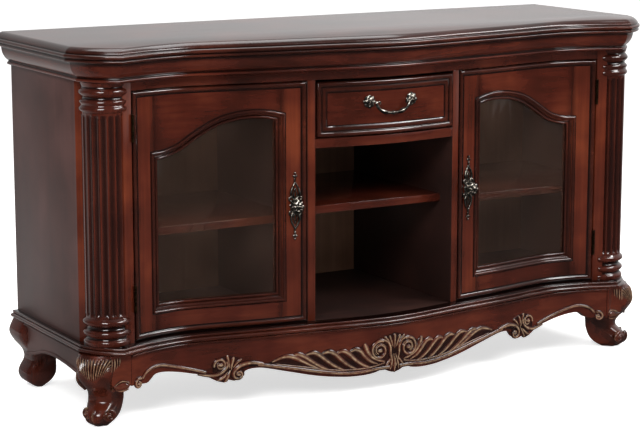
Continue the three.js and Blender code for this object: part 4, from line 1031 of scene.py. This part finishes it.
for way in (1, -1):
    curl = []
    for i in range(CURL_STEPS + 1):
        t = i / CURL_STEPS
        angle, reach = math.radians(-80 + 300 * t), CURL_REACH * (1 - 0.5 * t)
        centre = Vector((way * CURL_X, bail_y, ROSETTE_Z - CURL_UNDER))
        at = centre + Vector((way * reach * math.cos(angle), 0, reach * math.sin(angle)))
        curl.append((at, CURL_THICK * (1 - 0.4 * t)))
    rods.append(sweep(rod_rings(curl, 10)))
finish_piece("drawer_bail_cast", together(rods), "bail", pewter, ["drawer_bail"])
print("drawer pull: two rosettes and a bail,", len(path), "rings")

# %% [markdown]
# ## Carving
# The apron and knees are hand carved on the real stand, and gold is rubbed over the ridges. Each
# leaf rib is a rounded ridge that is carried along its own line on the face of the apron, wide at
# its crest and thin at its ends. An attribute is 1 along the crown and 0 at the sides: the rubbed
# gold, and a painted highlight on the crest with it. Painted shade darkens the sides.

# %% Ridges on the apron
APRON = 0.012 - FACE  # the apron's face, before the faces of the doors
RIDGE_SIDES = 11


def ridge(points, lift_share=0.5, depth=APRON, on=on_front, gold=22, shine=0.8):
    """A ridge through (x, z, width) points in millimetres on the front, or on what on follows. The gold,
    which is also a painted highlight on the crest, is the narrower the higher its power, and shine is
    how much of it is left on the crown. The sides of the ridge carry painted shade."""
    path = [(x / 1000, z / 1000, wide / 1000) for x, z, wide in smooth_path(points, 5)]
    angles = [math.pi * (k / (RIDGE_SIDES - 1) - 0.5) for k in range(RIDGE_SIDES)]
    crown = [math.cos(angle) for angle in angles] + [0.0, 0.0]
    rings = []
    for i, (x, z, wide) in enumerate(path):
        before, after = path[max(i - 1, 0)], path[min(i + 1, len(path) - 1)]
        run = Vector((after[0] - before[0], after[1] - before[1])).normalized()
        across = Vector((run.y, -run.x)) * wide / 2
        section = [(math.sin(angle), -wide * lift_share * math.cos(angle)) for angle in angles]
        section += [(1, 0.003), (-1, 0.003)]
        rings.append([on(x + across.x * out, depth + back, z + across.y * out) for out, back in section])
    return sweep(
        rings, rub=lambda row, i: shine * abs(crown[i]) ** gold, glaze=lambda row, i: 0.9 * (crown[i] < 0.4)
    )


def carved(name, bm, node="apron_front", mirror=False):
    return finish_piece(name, bm, "carcass", carved_wood, [node], mirror)


print("helpers for carving ready")

# %% Apron board and its beads
APRON_END, LEG_TOP, APRON_DROP, APRON_THICK = 0.684, 0.1607, 0.1157, 0.022
# Share of the way from the middle to the end, and share of the drop
APRON_LINE = [
    (0, 1.009), (0.02, 0.983), (0.044, 0.927), (0.073, 0.97), (0.105, 0.996), (0.146, 1.003), (0.19, 0.991),
    (0.281, 0.914), (0.389, 0.758), (0.474, 0.637), (0.512, 0.633), (0.535, 0.68), (0.545, 0.767),
    (0.564, 0.844), (0.589, 0.81), (0.601, 0.788), (0.617, 0.827), (0.639, 0.784), (0.661, 0.693),
    (0.711, 0.62), (0.76, 0.551), (0.814, 0.494), (0.849, 0.499), (0.865, 0.568), (0.88, 0.628),
    (0.905, 0.624), (0.93, 0.611), (1, 0.611),
]
APRON_STEPS = 130
TOP_BEAD = [(0, 0), (-0.008, -0.0002), (-0.0085, -0.003), (-0.005, -0.0058), (0, -0.006)]
WING_START = 0.65  # past here the carved wing beside each leg takes over


def apron_low(x):
    return LEG_TOP - APRON_DROP * curve_through(APRON_LINE, abs(x) / APRON_END)


apron_xs = [APRON_END * i / APRON_STEPS for i in range(-APRON_STEPS, APRON_STEPS + 1)]
apron_xs = [x for x in apron_xs if abs(x) <= WING_START]
loop = [(x, apron_low(x)) for x in apron_xs] + [(apron_xs[-1], LEG_TOP), (apron_xs[0], LEG_TOP)]
bm = bent_board(loop, APRON, APRON + APRON_THICK)
finish_piece("apron_front_board", bm, "carcass", cherry_level, ["apron_front"])
top_bead = rounded(TOP_BEAD, 2)
rings = [[on_front(x, APRON + out, LEG_TOP + down) for out, down in top_bead] for x in apron_xs]
finish_piece("apron_front_top_bead", sweep(rings), "carcass", cherry_dark, ["apron_front"])
print("lowest point of the apron, mm:", round(1000 * min(apron_low(x) for x in apron_xs), 1))

# %% [markdown]
# ### The carved scrolls, leaves and shell
# The carving is symmetrical, so each ridge is drawn once on the right and mirrored. A volute is a
# spiral whose ridge thins towards its eye, and the eye is a small dome.

# %% Lines of the carving
SPIRAL_STEPS = 26


def spiral(x, z, radius, start, turns, wide, end_share=0.22):
    """(x, z, width) points of a volute in millimetres; start is in degrees and turns may be negative."""
    points = []
    for i in range(SPIRAL_STEPS + 1):
        t = i / SPIRAL_STEPS
        angle = math.radians(start + 360 * turns * t)
        reach = radius * (1 - (1 - end_share) * t ** 0.8)
        points.append((x + reach * math.cos(angle), z + reach * math.sin(angle), wide * (1 - 0.5 * t)))
    return points


ALONG_DOME = (-1, -0.8, -0.4, 0, 0.4, 0.8, 1)


def dome(x, z, radius):
    return [(x + radius * t, z, radius * 2 * math.sqrt(max(0.03, 1 - t * t))) for t in ALONG_DOME]


CARVING = {
    "volute_stem": [(4, 58, 4), (8, 74, 8), (11.5, 90, 9), (12, 104, 9), (18, 117, 9), (30, 123.5, 9)],
    "volute": spiral(39, 99, 24, 112, -1.5, 10, 0.34),
    "volute_line": spiral(39, 99, 17.5, 160, -1.05, 3.4, 0.5),
    "volute_eye": dome(39, 99, 6.6),
    "shell_inner": [(4, 104, 3), (8, 116, 7), (12.5, 127, 8.5), (14.5, 132, 5)],
    "shell_outer": [(8, 106, 3), (15, 118, 6), (23, 127, 8), (27, 130.5, 4.5)],
    "hanging_inner": [(3, 88, 3), (7, 72, 7.5), (10, 60, 8), (11.5, 51, 3)],
    "hanging_outer": [(8, 82, 3), (16, 70, 7.5), (22, 62, 7), (27, 56, 3)],
    "leaf_knob": [(78, 119, 7), (75, 111, 15), (70, 99, 15), (59, 86, 12), (43, 77, 9), (26, 72, 5)],
    "rib_1": [(113, 103, 5), (102, 107.5, 12), (89, 103, 14), (78, 90, 12), (62, 76, 10), (44, 68, 5)],
    "rib_2": [(147, 102, 5), (132, 106.5, 12), (118, 100, 14), (99, 82, 12), (80, 69, 10), (62, 62, 4)],
    "rib_3": [(182, 104, 5), (167, 108.5, 12), (151, 102, 14), (131, 83, 12), (112, 69, 10), (94, 61, 4)],
    "rib_4": [(223, 105, 5), (204, 109.5, 12), (187, 102, 14), (164, 83, 12), (144, 70, 10), (126, 62, 4)],
    "rib_5": [(259, 104, 5), (241, 109.5, 12), (223, 102, 14), (198, 84, 12), (178, 72, 10), (160, 65, 4)],
    "rib_6": [(301, 98, 5), (273, 107, 11), (250, 104, 13), (224, 90, 11), (204, 79, 9), (186, 72, 4)],
    "under_line": [
        (26, 69, 4), (60, 62.5, 5), (100, 61, 5), (140, 63, 5), (180, 69, 4.5), (230, 80, 4), (290, 92, 3),
    ],
    "scroll_in": [(322, 96, 8), (345, 101, 11), (363, 101, 12), (380, 95, 12), (390, 84, 10), (391, 76, 9)],
    "scroll_in_curl": spiral(379, 77, 12.5, 10, -1.25, 9),
    "scroll_in_eye": dome(379, 76.5, 5),
    "scroll_out_tail": [
        (472, 85, 5), (450, 81, 9), (433, 80, 11), (416, 87, 11), (405, 99, 9), (407, 109, 8),
    ],
    "scroll_out_curl": spiral(421, 102, 15.5, -12, 1.3, 9, 0.3),
    "scroll_out_eye": dome(421, 102.5, 7),
    "fan_1": [(396, 88, 3), (395, 102, 8), (392, 113, 9), (390, 118, 5)],
    "fan_2": [(399, 92, 3), (402, 108, 7), (405, 119, 8), (406, 123, 5)],
    "fan_3": [(391, 94, 3), (383, 104, 7), (376, 110, 8), (372, 112, 4)],
    "fan_low_1": [(398, 88, 3), (403, 77, 9), (408, 67, 9), (411, 62, 4)],
    "fan_low_2": [(404, 85, 3), (413, 75, 9), (423, 69, 8), (429, 67, 3)],
    "end_curl": spiral(627, 91, 12.5, 120, -1.2, 9.5),
    "end_eye": dome(627, 90.5, 4.8),
}
MIDDLE_CARVING = {
    "shell_middle": [(0, 102, 4), (0, 118, 8), (0, 129, 9), (0, 135, 5)],
    "hanging_middle": [(0, 88, 4), (0, 70, 8.5), (0, 56, 8), (0, 45, 3)],
}
# On the real carving the ground between the ridges is cut back; here it is a thin pad, darkened as painted
# shade with the glazing. Each outline is in millimetres.
LEAF_GROUND = [
    (18, 62), (60, 54), (100, 52.5), (130, 54), (165, 59), (200, 66), (240, 75), (280, 84), (325, 93),
    (303, 99), (273, 106), (241, 108), (204, 108), (167, 107), (132, 105), (102, 106), (76, 116),
    (64, 112), (52, 122), (39, 125), (24, 122), (12, 108),
]
SHELL_GROUND = [
    (30, 127), (14, 134), (0, 138), (-14, 134), (-30, 127), (-14, 104), (-12, 80), (-29, 57), (-12, 49),
    (0, 43), (12, 49), (29, 57), (12, 80), (14, 104),
]
FAN_GROUND = [
    (318, 93), (350, 92), (366, 90), (366, 74), (379, 66), (392, 69), (400, 72), (405, 63), (413, 61),
    (430, 66), (424, 76), (438, 79), (438, 104), (424, 118), (408, 122), (392, 120), (372, 113),
    (378, 103), (350, 105),
]
# painted shade on the ground between the ridges, with the glazing
GROUND_SHADE_AND_GLAZE = 0.75
LOW_LIFT = 0.3  # the broad ribs stand out less for their width


def ground(name, outline, mirror=False):
    loop = [(x / 1000, z / 1000) for x, z in outline]
    bm = bent_board(loop, APRON - 0.0012, APRON + 0.002, pitch=0.008)
    layer = bm.verts.layers.float["glaze"]
    for vert in bm.verts:
        vert[layer] = GROUND_SHADE_AND_GLAZE
    carved(name, bm, mirror=mirror)


for side, mirror in SIDES:
    for name, points in CARVING.items():
        lift = LOW_LIFT if name.startswith(("rib", "leaf")) else 0.5
        carved(f"apron_{name}_{side}", ridge(points, lift), mirror=mirror)
    ground(f"apron_leaf_ground_{side}", LEAF_GROUND, mirror)
    ground(f"apron_fan_ground_{side}", FAN_GROUND, mirror)
for name, points in MIDDLE_CARVING.items():
    carved(f"apron_{name}", ridge(points))
ground("apron_shell_ground", SHELL_GROUND)
print("carved ridges on the apron:", 2 * len(CARVING) + len(MIDDLE_CARVING))

# %% Bead along the apron's lower edge
RIM = [
    (14, 57), (30, 57), (50, 56.5), (74, 54), (100, 53), (130, 54.5), (165, 59.5), (200, 66.5), (240, 75.5),
    (280, 84), (310, 90.5), (335, 95),
]
RIM_OUTER = [(617, 101), (606, 112), (588, 119), (565, 120), (540, 114), (510, 105), (480, 96), (455, 88)]
for name, line, wide in (("inner", RIM, 10), ("outer", RIM_OUTER, 9)):
    points = [(x, z, wide) for x, z in line]
    for side, mirror in SIDES:
        bm = ridge(points, 0.42, gold=26, shine=0.6)
        carved(f"apron_rim_{name}_{side}", bm, mirror=mirror)
print("rim beads:", 2 * len(SIDES))

# %% [markdown]
# ## Legs
# The front legs are cabriole legs set across the corners: a swelling knee, a hollow ankle and a
# scrolled foot. Each is one section carried down the leg, wider or narrower at each level. The fringe
# of leaves on the knee is carved into that surface, so the section's points are moved out in lobes.

# %% Front legs
FOOT_X, FOOT_Y = CORNER_X + 0.033, FRONT_Y + 0.100
# Shares of the leg's height: up, out and in along its diagonal, half its width, and half of it behind
FRONT_LEG = [
    (1, 0.224, -0.46, 0.286, 0.249), (0.9, 0.286, -0.448, 0.283, 0.249), (0.78, 0.311, -0.436, 0.28, 0.246),
    (0.68, 0.292, -0.423, 0.274, 0.236), (0.6, 0.243, -0.411, 0.236, 0.227),
    (0.54, 0.193, -0.404, 0.199, 0.212), (0.48, 0.124, -0.392, 0.19, 0.205),
    (0.4, 0.072, -0.386, 0.199, 0.202), (0.33, 0.072, -0.38, 0.202, 0.205),
    (0.28, 0.118, -0.367, 0.193, 0.205), (0.22, 0.193, -0.348, 0.168, 0.199),
    (0.16, 0.23, -0.317, 0.137, 0.193), (0.1, 0.224, -0.268, 0.106, 0.18),
    (0.05, 0.187, -0.205, 0.075, 0.156), (0, 0.112, -0.124, 0.056, 0.112),
]
KNEE_LOBES, LOBE_HIGH = 12, 0.0046
FRINGE_HIGH, FRINGE_LOW, FRINGE_SIDE = 0.155, 0.102, 0.030  # it hangs lower in its middle


def leg_section(outward, inward, half_wide, inner):
    """The section at one level as (out along the diagonal, across it), and where it starts to round."""
    o, i, h, n = (value * LEG_TOP for value in (outward, inward, half_wide, inner))
    shoulder = o - h * 0.8
    side = [(i, n), (shoulder - h * 0.5, n * 1.02), (shoulder, h)]
    side += [(o - h * 0.36, h * 0.86), (o - h * 0.1, h * 0.5)]
    line = side + [(o, 0)] + [(u, -v) for u, v in reversed(side)]
    return [line[0]] + rounded(line[1:-1], 4) + [line[-1]], shoulder, h


def knee_lobe(u, v, z, shoulder, half_wide):
    """The fringe: how strong it is at a point of the knee, and how near to the crown of a leaf."""
    around = v / half_wide
    low = FRINGE_LOW + FRINGE_SIDE * abs(around)
    strong = min((u - shoulder) / 0.006, (z - low) / 0.012, (FRINGE_HIGH - z) / 0.004)
    spread = around / (0.55 + 0.45 * (z - low) / (FRINGE_HIGH - low)) if z > low else 0.0
    return min(1.0, max(0.0, strong)), abs(math.cos(math.pi * KNEE_LOBES * spread / 2))


def to_corner(u, v, z):
    """A point of the right front leg: u out along its diagonal, and v across it."""
    turn = math.sqrt(0.5)
    return Vector((FOOT_X + (u + v) * turn, FOOT_Y + (v - u) * turn, z))


def front_leg():
    rings, crowns = [], []
    for share, *values in reversed(smooth_path(FRONT_LEG, 8)):
        section, shoulder, half_wide = leg_section(*values)
        ring, crown = [], []
        for u, v in section:
            strong, crest = knee_lobe(u, v, share * LEG_TOP, shoulder, half_wide)
            away = Vector((u - shoulder, v))
            away = away.normalized() * strong * (crest - 0.45) * LOBE_HIGH if strong else Vector((0, 0))
            ring.append(to_corner(u + away.x, v + away.y, share * LEG_TOP))
            crown.append(strong * (0.8 * crest ** 14 if crest > 0.6 else crest - 1.0))
        rings.append(ring)
        crowns.append(crown)
    # A crown above 0 carries gold with a painted highlight, and below 0 it is painted shade between two
    # leaves, with the glazing.
    return sweep(
        rings, rub=lambda row, i: max(0.0, crowns[row][i]), glaze=lambda row, i: max(0.0, -crowns[row][i])
    )


for side, mirror in reversed(SIDES):
    leg = carved(f"leg_front_{side}_carved", front_leg(), f"leg_front_{side}", mirror)
    print(leg.name, "faces:", len(leg.data.polygons))


# %% Scrolls on the front legs
ROD_SIDES, ROD_GILT_AND_HIGHLIGHT = 12, 0.85
VOLUTE_STEPS = 20


def leg_rod(points):
    """(u, v, z, radius) in millimetres: out along the diagonal, across it, up, and the rod's radius."""
    path = [(to_corner(u / 1000, v / 1000, z / 1000), r / 1000) for u, v, z, r in smooth_path(points, 4)]
    across = [abs(math.cos(math.pi * k / ROD_SIDES)) for k in range(ROD_SIDES)]
    # gold with a painted highlight on two opposite sides of each rod
    return sweep(rod_rings(path, ROD_SIDES), rub=lambda row, i: ROD_GILT_AND_HIGHLIGHT * across[i] ** 4)


def leg_volute(side, u, z, radius, turns, thick, lean=0.0):
    """A volute on the leg. With lean, its face is turned from the diagonal towards the leg's own side."""
    points = []
    for i in range(VOLUTE_STEPS + 1):
        t = i / VOLUTE_STEPS
        angle = math.pi * (0.5 + 2 * turns * t)
        reach = radius * (1 - 0.72 * t ** 0.8)
        across = reach * math.cos(angle)
        outward = across if side > 0 else -across
        up = reach * math.sin(angle)
        points.append((u - outward * lean + 2.5 * t, side + across, z + up, thick * (1 - 0.45 * t)))
    return points


def leg_eye(side, u, z, radius):
    return [(u - 1, side, z + radius * t, radius * math.sqrt(max(0.04, 1 - t * t))) for t in ALONG_DOME]


KNEE_CURL = [
    (10, 46, 122, 2), (10, 46, 112, 4), (7, 45, 102, 7), (3, 41, 92, 8), (2, 36, 84, 6), (4, 31, 77, 3),
]
LEG_SCROLLS = {
    "foot_scroll_a": leg_volute(22, 20, 27, 11, -1.4, 4.4, 0.7),
    "foot_scroll_b": leg_volute(-29, 23, 27, 12.5, 1.4, 4.8, 0.6),
    "foot_eye_a": leg_eye(22, 23, 27, 4.8),
    "foot_eye_b": leg_eye(-30, 26, 27, 5.4),
    "toe": [(33, 0, 40, 2), (35, 0, 33, 5), (35, 0, 25, 6.5), (32, 0, 16, 6), (27, 0, 9, 3)],
    "rosette": leg_volute(0, 30, 87, 4.5, 1.2, 1.8),
    "knee_curl_a": KNEE_CURL,
    "knee_curl_b": [(u, -v, z, radius) for u, v, z, radius in KNEE_CURL],
}
for name, points in LEG_SCROLLS.items():
    for side, mirror in SIDES:
        carved(f"leg_front_{side}_{name}", leg_rod(points), f"leg_front_{side}", mirror)
print("scrolls on each front leg:", len(LEG_SCROLLS))

# %% [markdown]
# ### The carved wings
# Between the apron and each front leg stands a wing: a thick piece that runs on from the face of the
# apron, hollows and dies into the knee, with a curled leaf at its foot. It is a flat outline made a
# board, like the others, but bent along its own line in plan. The leaf's ridges follow the same line.

# %% Wings beside the front legs
WING_THICK = 0.012
WING_ENDS = [(0.006, -0.056), (0.014, -0.049), (0.023, -0.043), (0.033, -0.035)]
wing_plan = [on_front(x, APRON, 0).to_2d() for x in (0.636, WING_START)]
wing_plan += [to_corner(u, v, 0).to_2d() for u, v in WING_ENDS]
wing_line = [Vector(point) for point in smooth_path(wing_plan, 8)]
wing_runs = [0.0]
for a, b in zip(wing_line, wing_line[1:]):
    wing_runs.append(wing_runs[-1] + (b - a).length)


def on_wing(along, depth, z):
    """A point of the wing, as on_front gives one of the front."""
    k = max(i for i in range(len(wing_runs) - 1) if wing_runs[i] <= max(along, 0.0))
    run = (wing_line[k + 1] - wing_line[k]).normalized()
    at = wing_line[k] + run * (along - wing_runs[k]) + Vector((-run.y, run.x)) * depth
    return Vector((at.x, at.y, z))


# On the wing, x is the way in millimetres along its own line in plan
WING_LOW = [(13.5, 90), (16, 94), (18, 90), (23, 84), (30, 80.5), (39, 80.5), (47, 84), (54, 90), (60, 98)]
wing_start, wing_end = WING_LOW[0][0] / 1000, WING_LOW[-1][0] / 1000
loop = [(x / 1000, z / 1000) for x, z in WING_LOW] + [(wing_end, LEG_TOP), (wing_start, LEG_TOP)]
WING_CARVING = {
    "ear": [(19, 90, 6), (25, 91, 16), (34, 91, 19), (43, 90, 17), (51, 91, 10), (56, 94, 4)],
    "ear_rim": [(18, 97, 3), (25, 101, 5), (35, 102, 5.5), (45, 99, 5), (52, 95, 3)],
    "ear_line": [(27, 92, 2.5), (33, 95, 4), (40, 94, 4), (43, 90, 3.5), (39, 86.5, 3), (33, 86.5, 2)],
    "ear_low": [(20, 85, 3), (29, 81.5, 5), (39, 81, 6), (49, 85, 5), (55, 91, 3)],
    "strand_1": [(39, 155, 2.5), (39.5, 149, 5.5), (40, 143, 5), (41, 137, 2)],
    "strand_2": [(46, 155, 2.5), (46, 148, 6), (46.5, 140, 5.5), (48, 132, 2)],
    "strand_3": [(53, 155, 2.5), (53, 147, 6), (53.5, 138, 5.5), (55, 127, 2)],
    "strand_4": [(60, 155, 2.5), (60, 146, 6), (60.5, 136, 5.5), (62, 122, 2)],
}
for side, mirror in SIDES:
    bm = bent_board(loop, 0, WING_THICK, on=on_wing, pitch=0.003)
    finish_piece(f"apron_wing_{side}", bm, "carcass", cherry_level, ["apron_front"], mirror)
    for name, points in WING_CARVING.items():
        shine = 0.1 if name == "ear" else 0.7
        carved(f"apron_{name}_{side}", ridge(points, 0.4, 0.0, on_wing, shine=shine), mirror=mirror)
print("length of a wing in plan, mm:", round(1000 * wing_runs[-1], 1))

# %% Rear legs
# Shares: up, the outer and the inner face over half the width, the front and the rear face over the height
REAR_LEG = [
    (1, 0.992, 0.876, -0.46, -0.019), (0.87, 1.005, 0.876, -0.467, -0.012),
    (0.78, 1.005, 0.879, -0.46, -0.012), (0.66, 0.99, 0.884, -0.436, -0.012),
    (0.54, 0.968, 0.885, -0.404, -0.012), (0.45, 0.96, 0.885, -0.386, -0.012),
    (0.37, 0.962, 0.885, -0.386, -0.012), (0.28, 0.974, 0.885, -0.386, -0.012),
    (0.19, 0.98, 0.888, -0.386, -0.012), (0.1, 0.974, 0.902, -0.38, -0.019),
    (0.04, 0.96, 0.919, -0.361, -0.031), (0, 0.946, 0.93, -0.336, -0.05),
]


def rear_leg():
    rings = []
    for share, out_x, in_x, front_edge, rear_edge in reversed(smooth_path(REAR_LEG, 6)):
        out, inner = out_x * FLAT_HALF, in_x * FLAT_HALF
        near, far = BACK_Y + front_edge * LEG_TOP, BACK_Y + rear_edge * LEG_TOP
        bend = (far - near) * 0.18
        corner = [(out - bend, near), (out - bend * 0.3, near + bend * 0.3), (out, near + bend)]
        plan = [(inner, near)] + rounded(corner, 2) + [(out, far), (inner, far)]
        rings.append([Vector((x, y, share * LEG_TOP)) for x, y in plan])
    return sweep(rings)


for side, mirror in reversed(SIDES):
    name = f"leg_rear_{side}"
    leg = finish_piece(f"{name}_shaped", rear_leg(), "carcass", cherry_turned, [name], mirror)
    print(leg.name, "faces:", len(leg.data.polygons))

# %% Side aprons
SIDE_LINE = [(0, 0.5), (0.15, 0.46), (0.3, 0.42), (0.5, 0.4), (0.7, 0.45), (0.85, 0.57), (1, 0.66)]
SIDE_START, SIDE_END = FRONT_Y + 0.120, BACK_Y - 0.070
SIDE_FACE = FLAT_HALF - 0.012
SIDE_SLICES = 48
# (out from the face, up from the top edge or from the lower edge)
BEAD_ABOVE = [(0.001, 0), (0.0085, -0.0004), (0.008, -0.004), (0, -0.006)]
BEAD_BELOW = [(0, 0.009), (0.003, 0.0085), (0.0045, 0.005), (0.003, 0.001), (0, 0)]


def side_apron():
    rings = []
    for i in range(SIDE_SLICES + 1):
        t = i / SIDE_SLICES
        y = SIDE_START + (SIDE_END - SIDE_START) * t
        low = LEG_TOP - APRON_DROP * curve_through(SIDE_LINE, t)
        face = [(out, LEG_TOP + up) for out, up in BEAD_ABOVE] + [(out, low + up) for out, up in BEAD_BELOW]
        section = rounded(face) + [(-APRON_THICK, low), (-APRON_THICK, LEG_TOP)]
        rings.append([Vector((SIDE_FACE + out, y, z)) for out, z in section])
    return sweep(rings)


for side, mirror in reversed(SIDES):
    name = f"apron_{side}"
    finish_piece(f"{name}_shaped", side_apron(), "carcass", cherry_side_painted_sheen, [name], mirror)
print("side aprons:", len(SIDES))

# %% [markdown]
# ## Studio
# The stand is on a wide sheet of white paper, lit by large soft lamps. The paper and the world are
# white to the camera, and the lamps stay at a level at which the wood renders as it is written. In
# mirror reflections both are dimmer in front of the stand, like the dark side of a studio.

# %% Floor
FLOOR_RADIUS = 40.0
PAPER_GLOW = 0.62  # added for the camera alone, so that the paper meets the white of the world


def paper():
    material, tree, place = new_material("studio paper, white matt")
    path = add_node(tree, "ShaderNodeLightPath").outputs
    depth = add_node(tree, "ShaderNodeSeparateXYZ", {0: place}).outputs["Y"]
    lit = between(tree, depth, -0.3, 0.9, 0.03, 0.55)
    white = linear("#F6F5F4")
    mirrored = mix_colours(tree, lit, linear("#000000"), white)
    surface(tree, {
        "Base Color": mix_colours(tree, path["Is Glossy Ray"], white, mirrored), "Roughness": 0.8,
        "Specular IOR Level": 0.1, "Emission Color": linear("#FFFFFF"),
        "Emission Strength": calculate(tree, "MULTIPLY", path["Is Camera Ray"], PAPER_GLOW),
    }, (noise(tree, place, 400.0, 2.0), 0.05, 0.0005))
    return material


bm = bmesh.new()
bmesh.ops.create_circle(bm, cap_ends=True, segments=96, radius=FLOOR_RADIUS)
mesh = bpy.data.meshes.new("studio_floor")
bm.to_mesh(mesh)
bm.free()
mesh.materials.append(paper())
floor = bpy.data.objects.new("studio_floor", mesh)
bpy.context.scene.collection.objects.link(floor)
print("floor radius, m:", FLOOR_RADIUS)

# %% World and lamps
WORLD_LIGHT = 0.55  # what the world adds to the lamps; to the camera it is full white
BEHIND = (0.8, 0.6, 0.0)  # away from the camera and to the right, where mirrors find more light

world = bpy.data.worlds.new("studio")
bpy.context.scene.world = world
world.use_nodes = True
tree = world.node_tree
tree.nodes.clear()
path = add_node(tree, "ShaderNodeLightPath").outputs
seen = calculate(tree, "MAXIMUM", path["Is Camera Ray"], path["Is Transmission Ray"])
look = add_node(tree, "ShaderNodeTexCoord").outputs["Generated"]
behind = add_node(
    tree, "ShaderNodeVectorMath", {0: look, 1: BEHIND}, operation="DOT_PRODUCT"
).outputs["Value"]
in_mirrors = between(tree, behind, -0.3, 1.0, 0.05, 0.76)
level = mix_values(tree, path["Is Glossy Ray"], WORLD_LIGHT, in_mirrors)
strength = calculate(tree, "MAXIMUM", level, seen)
back = add_node(tree, "ShaderNodeBackground", {"Color": linear("#FFFFFF"), "Strength": strength})
add_node(tree, "ShaderNodeOutputWorld", {"Surface": back.outputs[0]})

# (place, size, watts)
LAMPS = {
    "lamp_left_front": ((-2.6, -2.6, 2.6), (1.6, 1.2), 90),
    "lamp_right_front": ((2.4, -2.8, 3.0), (1.4, 1.2), 60),
    "lamp_above": ((0.0, 0.3, 3.2), (3.0, 1.6), 60),
    "lamp_strip": ((1.7, -1.5, 2.6), (2.8, 0.25), 40),  # draws the bright line on each moulding
}
LAMPS_AIM = Vector((0, 0, 0.4))
for name, (place, size, watts) in LAMPS.items():
    light = bpy.data.lights.new(name, "AREA")
    light.shape = "RECTANGLE"
    light.size, light.size_y = size
    light.energy = watts
    lamp = bpy.data.objects.new(name, light)
    lamp.location = place
    lamp.rotation_euler = (LAMPS_AIM - Vector(place)).to_track_quat("-Z", "Y").to_euler()
    bpy.context.scene.collection.objects.link(lamp)
print("lamps:", len(LAMPS))

# %% Camera
# Its place, turn and lens were fitted to the photograph.
YAW, PITCH = math.radians(30.364), math.radians(10.556)
camera = bpy.data.cameras.new("camera")
camera.sensor_width = 36
camera.lens = 115.55
viewer = bpy.data.objects.new("camera", camera)
viewer.location = (-2.4723, -4.1128, 1.2691)
viewer.rotation_euler = (math.pi / 2 - PITCH, 0, -YAW)
bpy.context.scene.collection.objects.link(viewer)
bpy.context.scene.camera = viewer
bpy.context.scene.view_settings.view_transform = "Standard"
print("camera at", tuple(viewer.location))
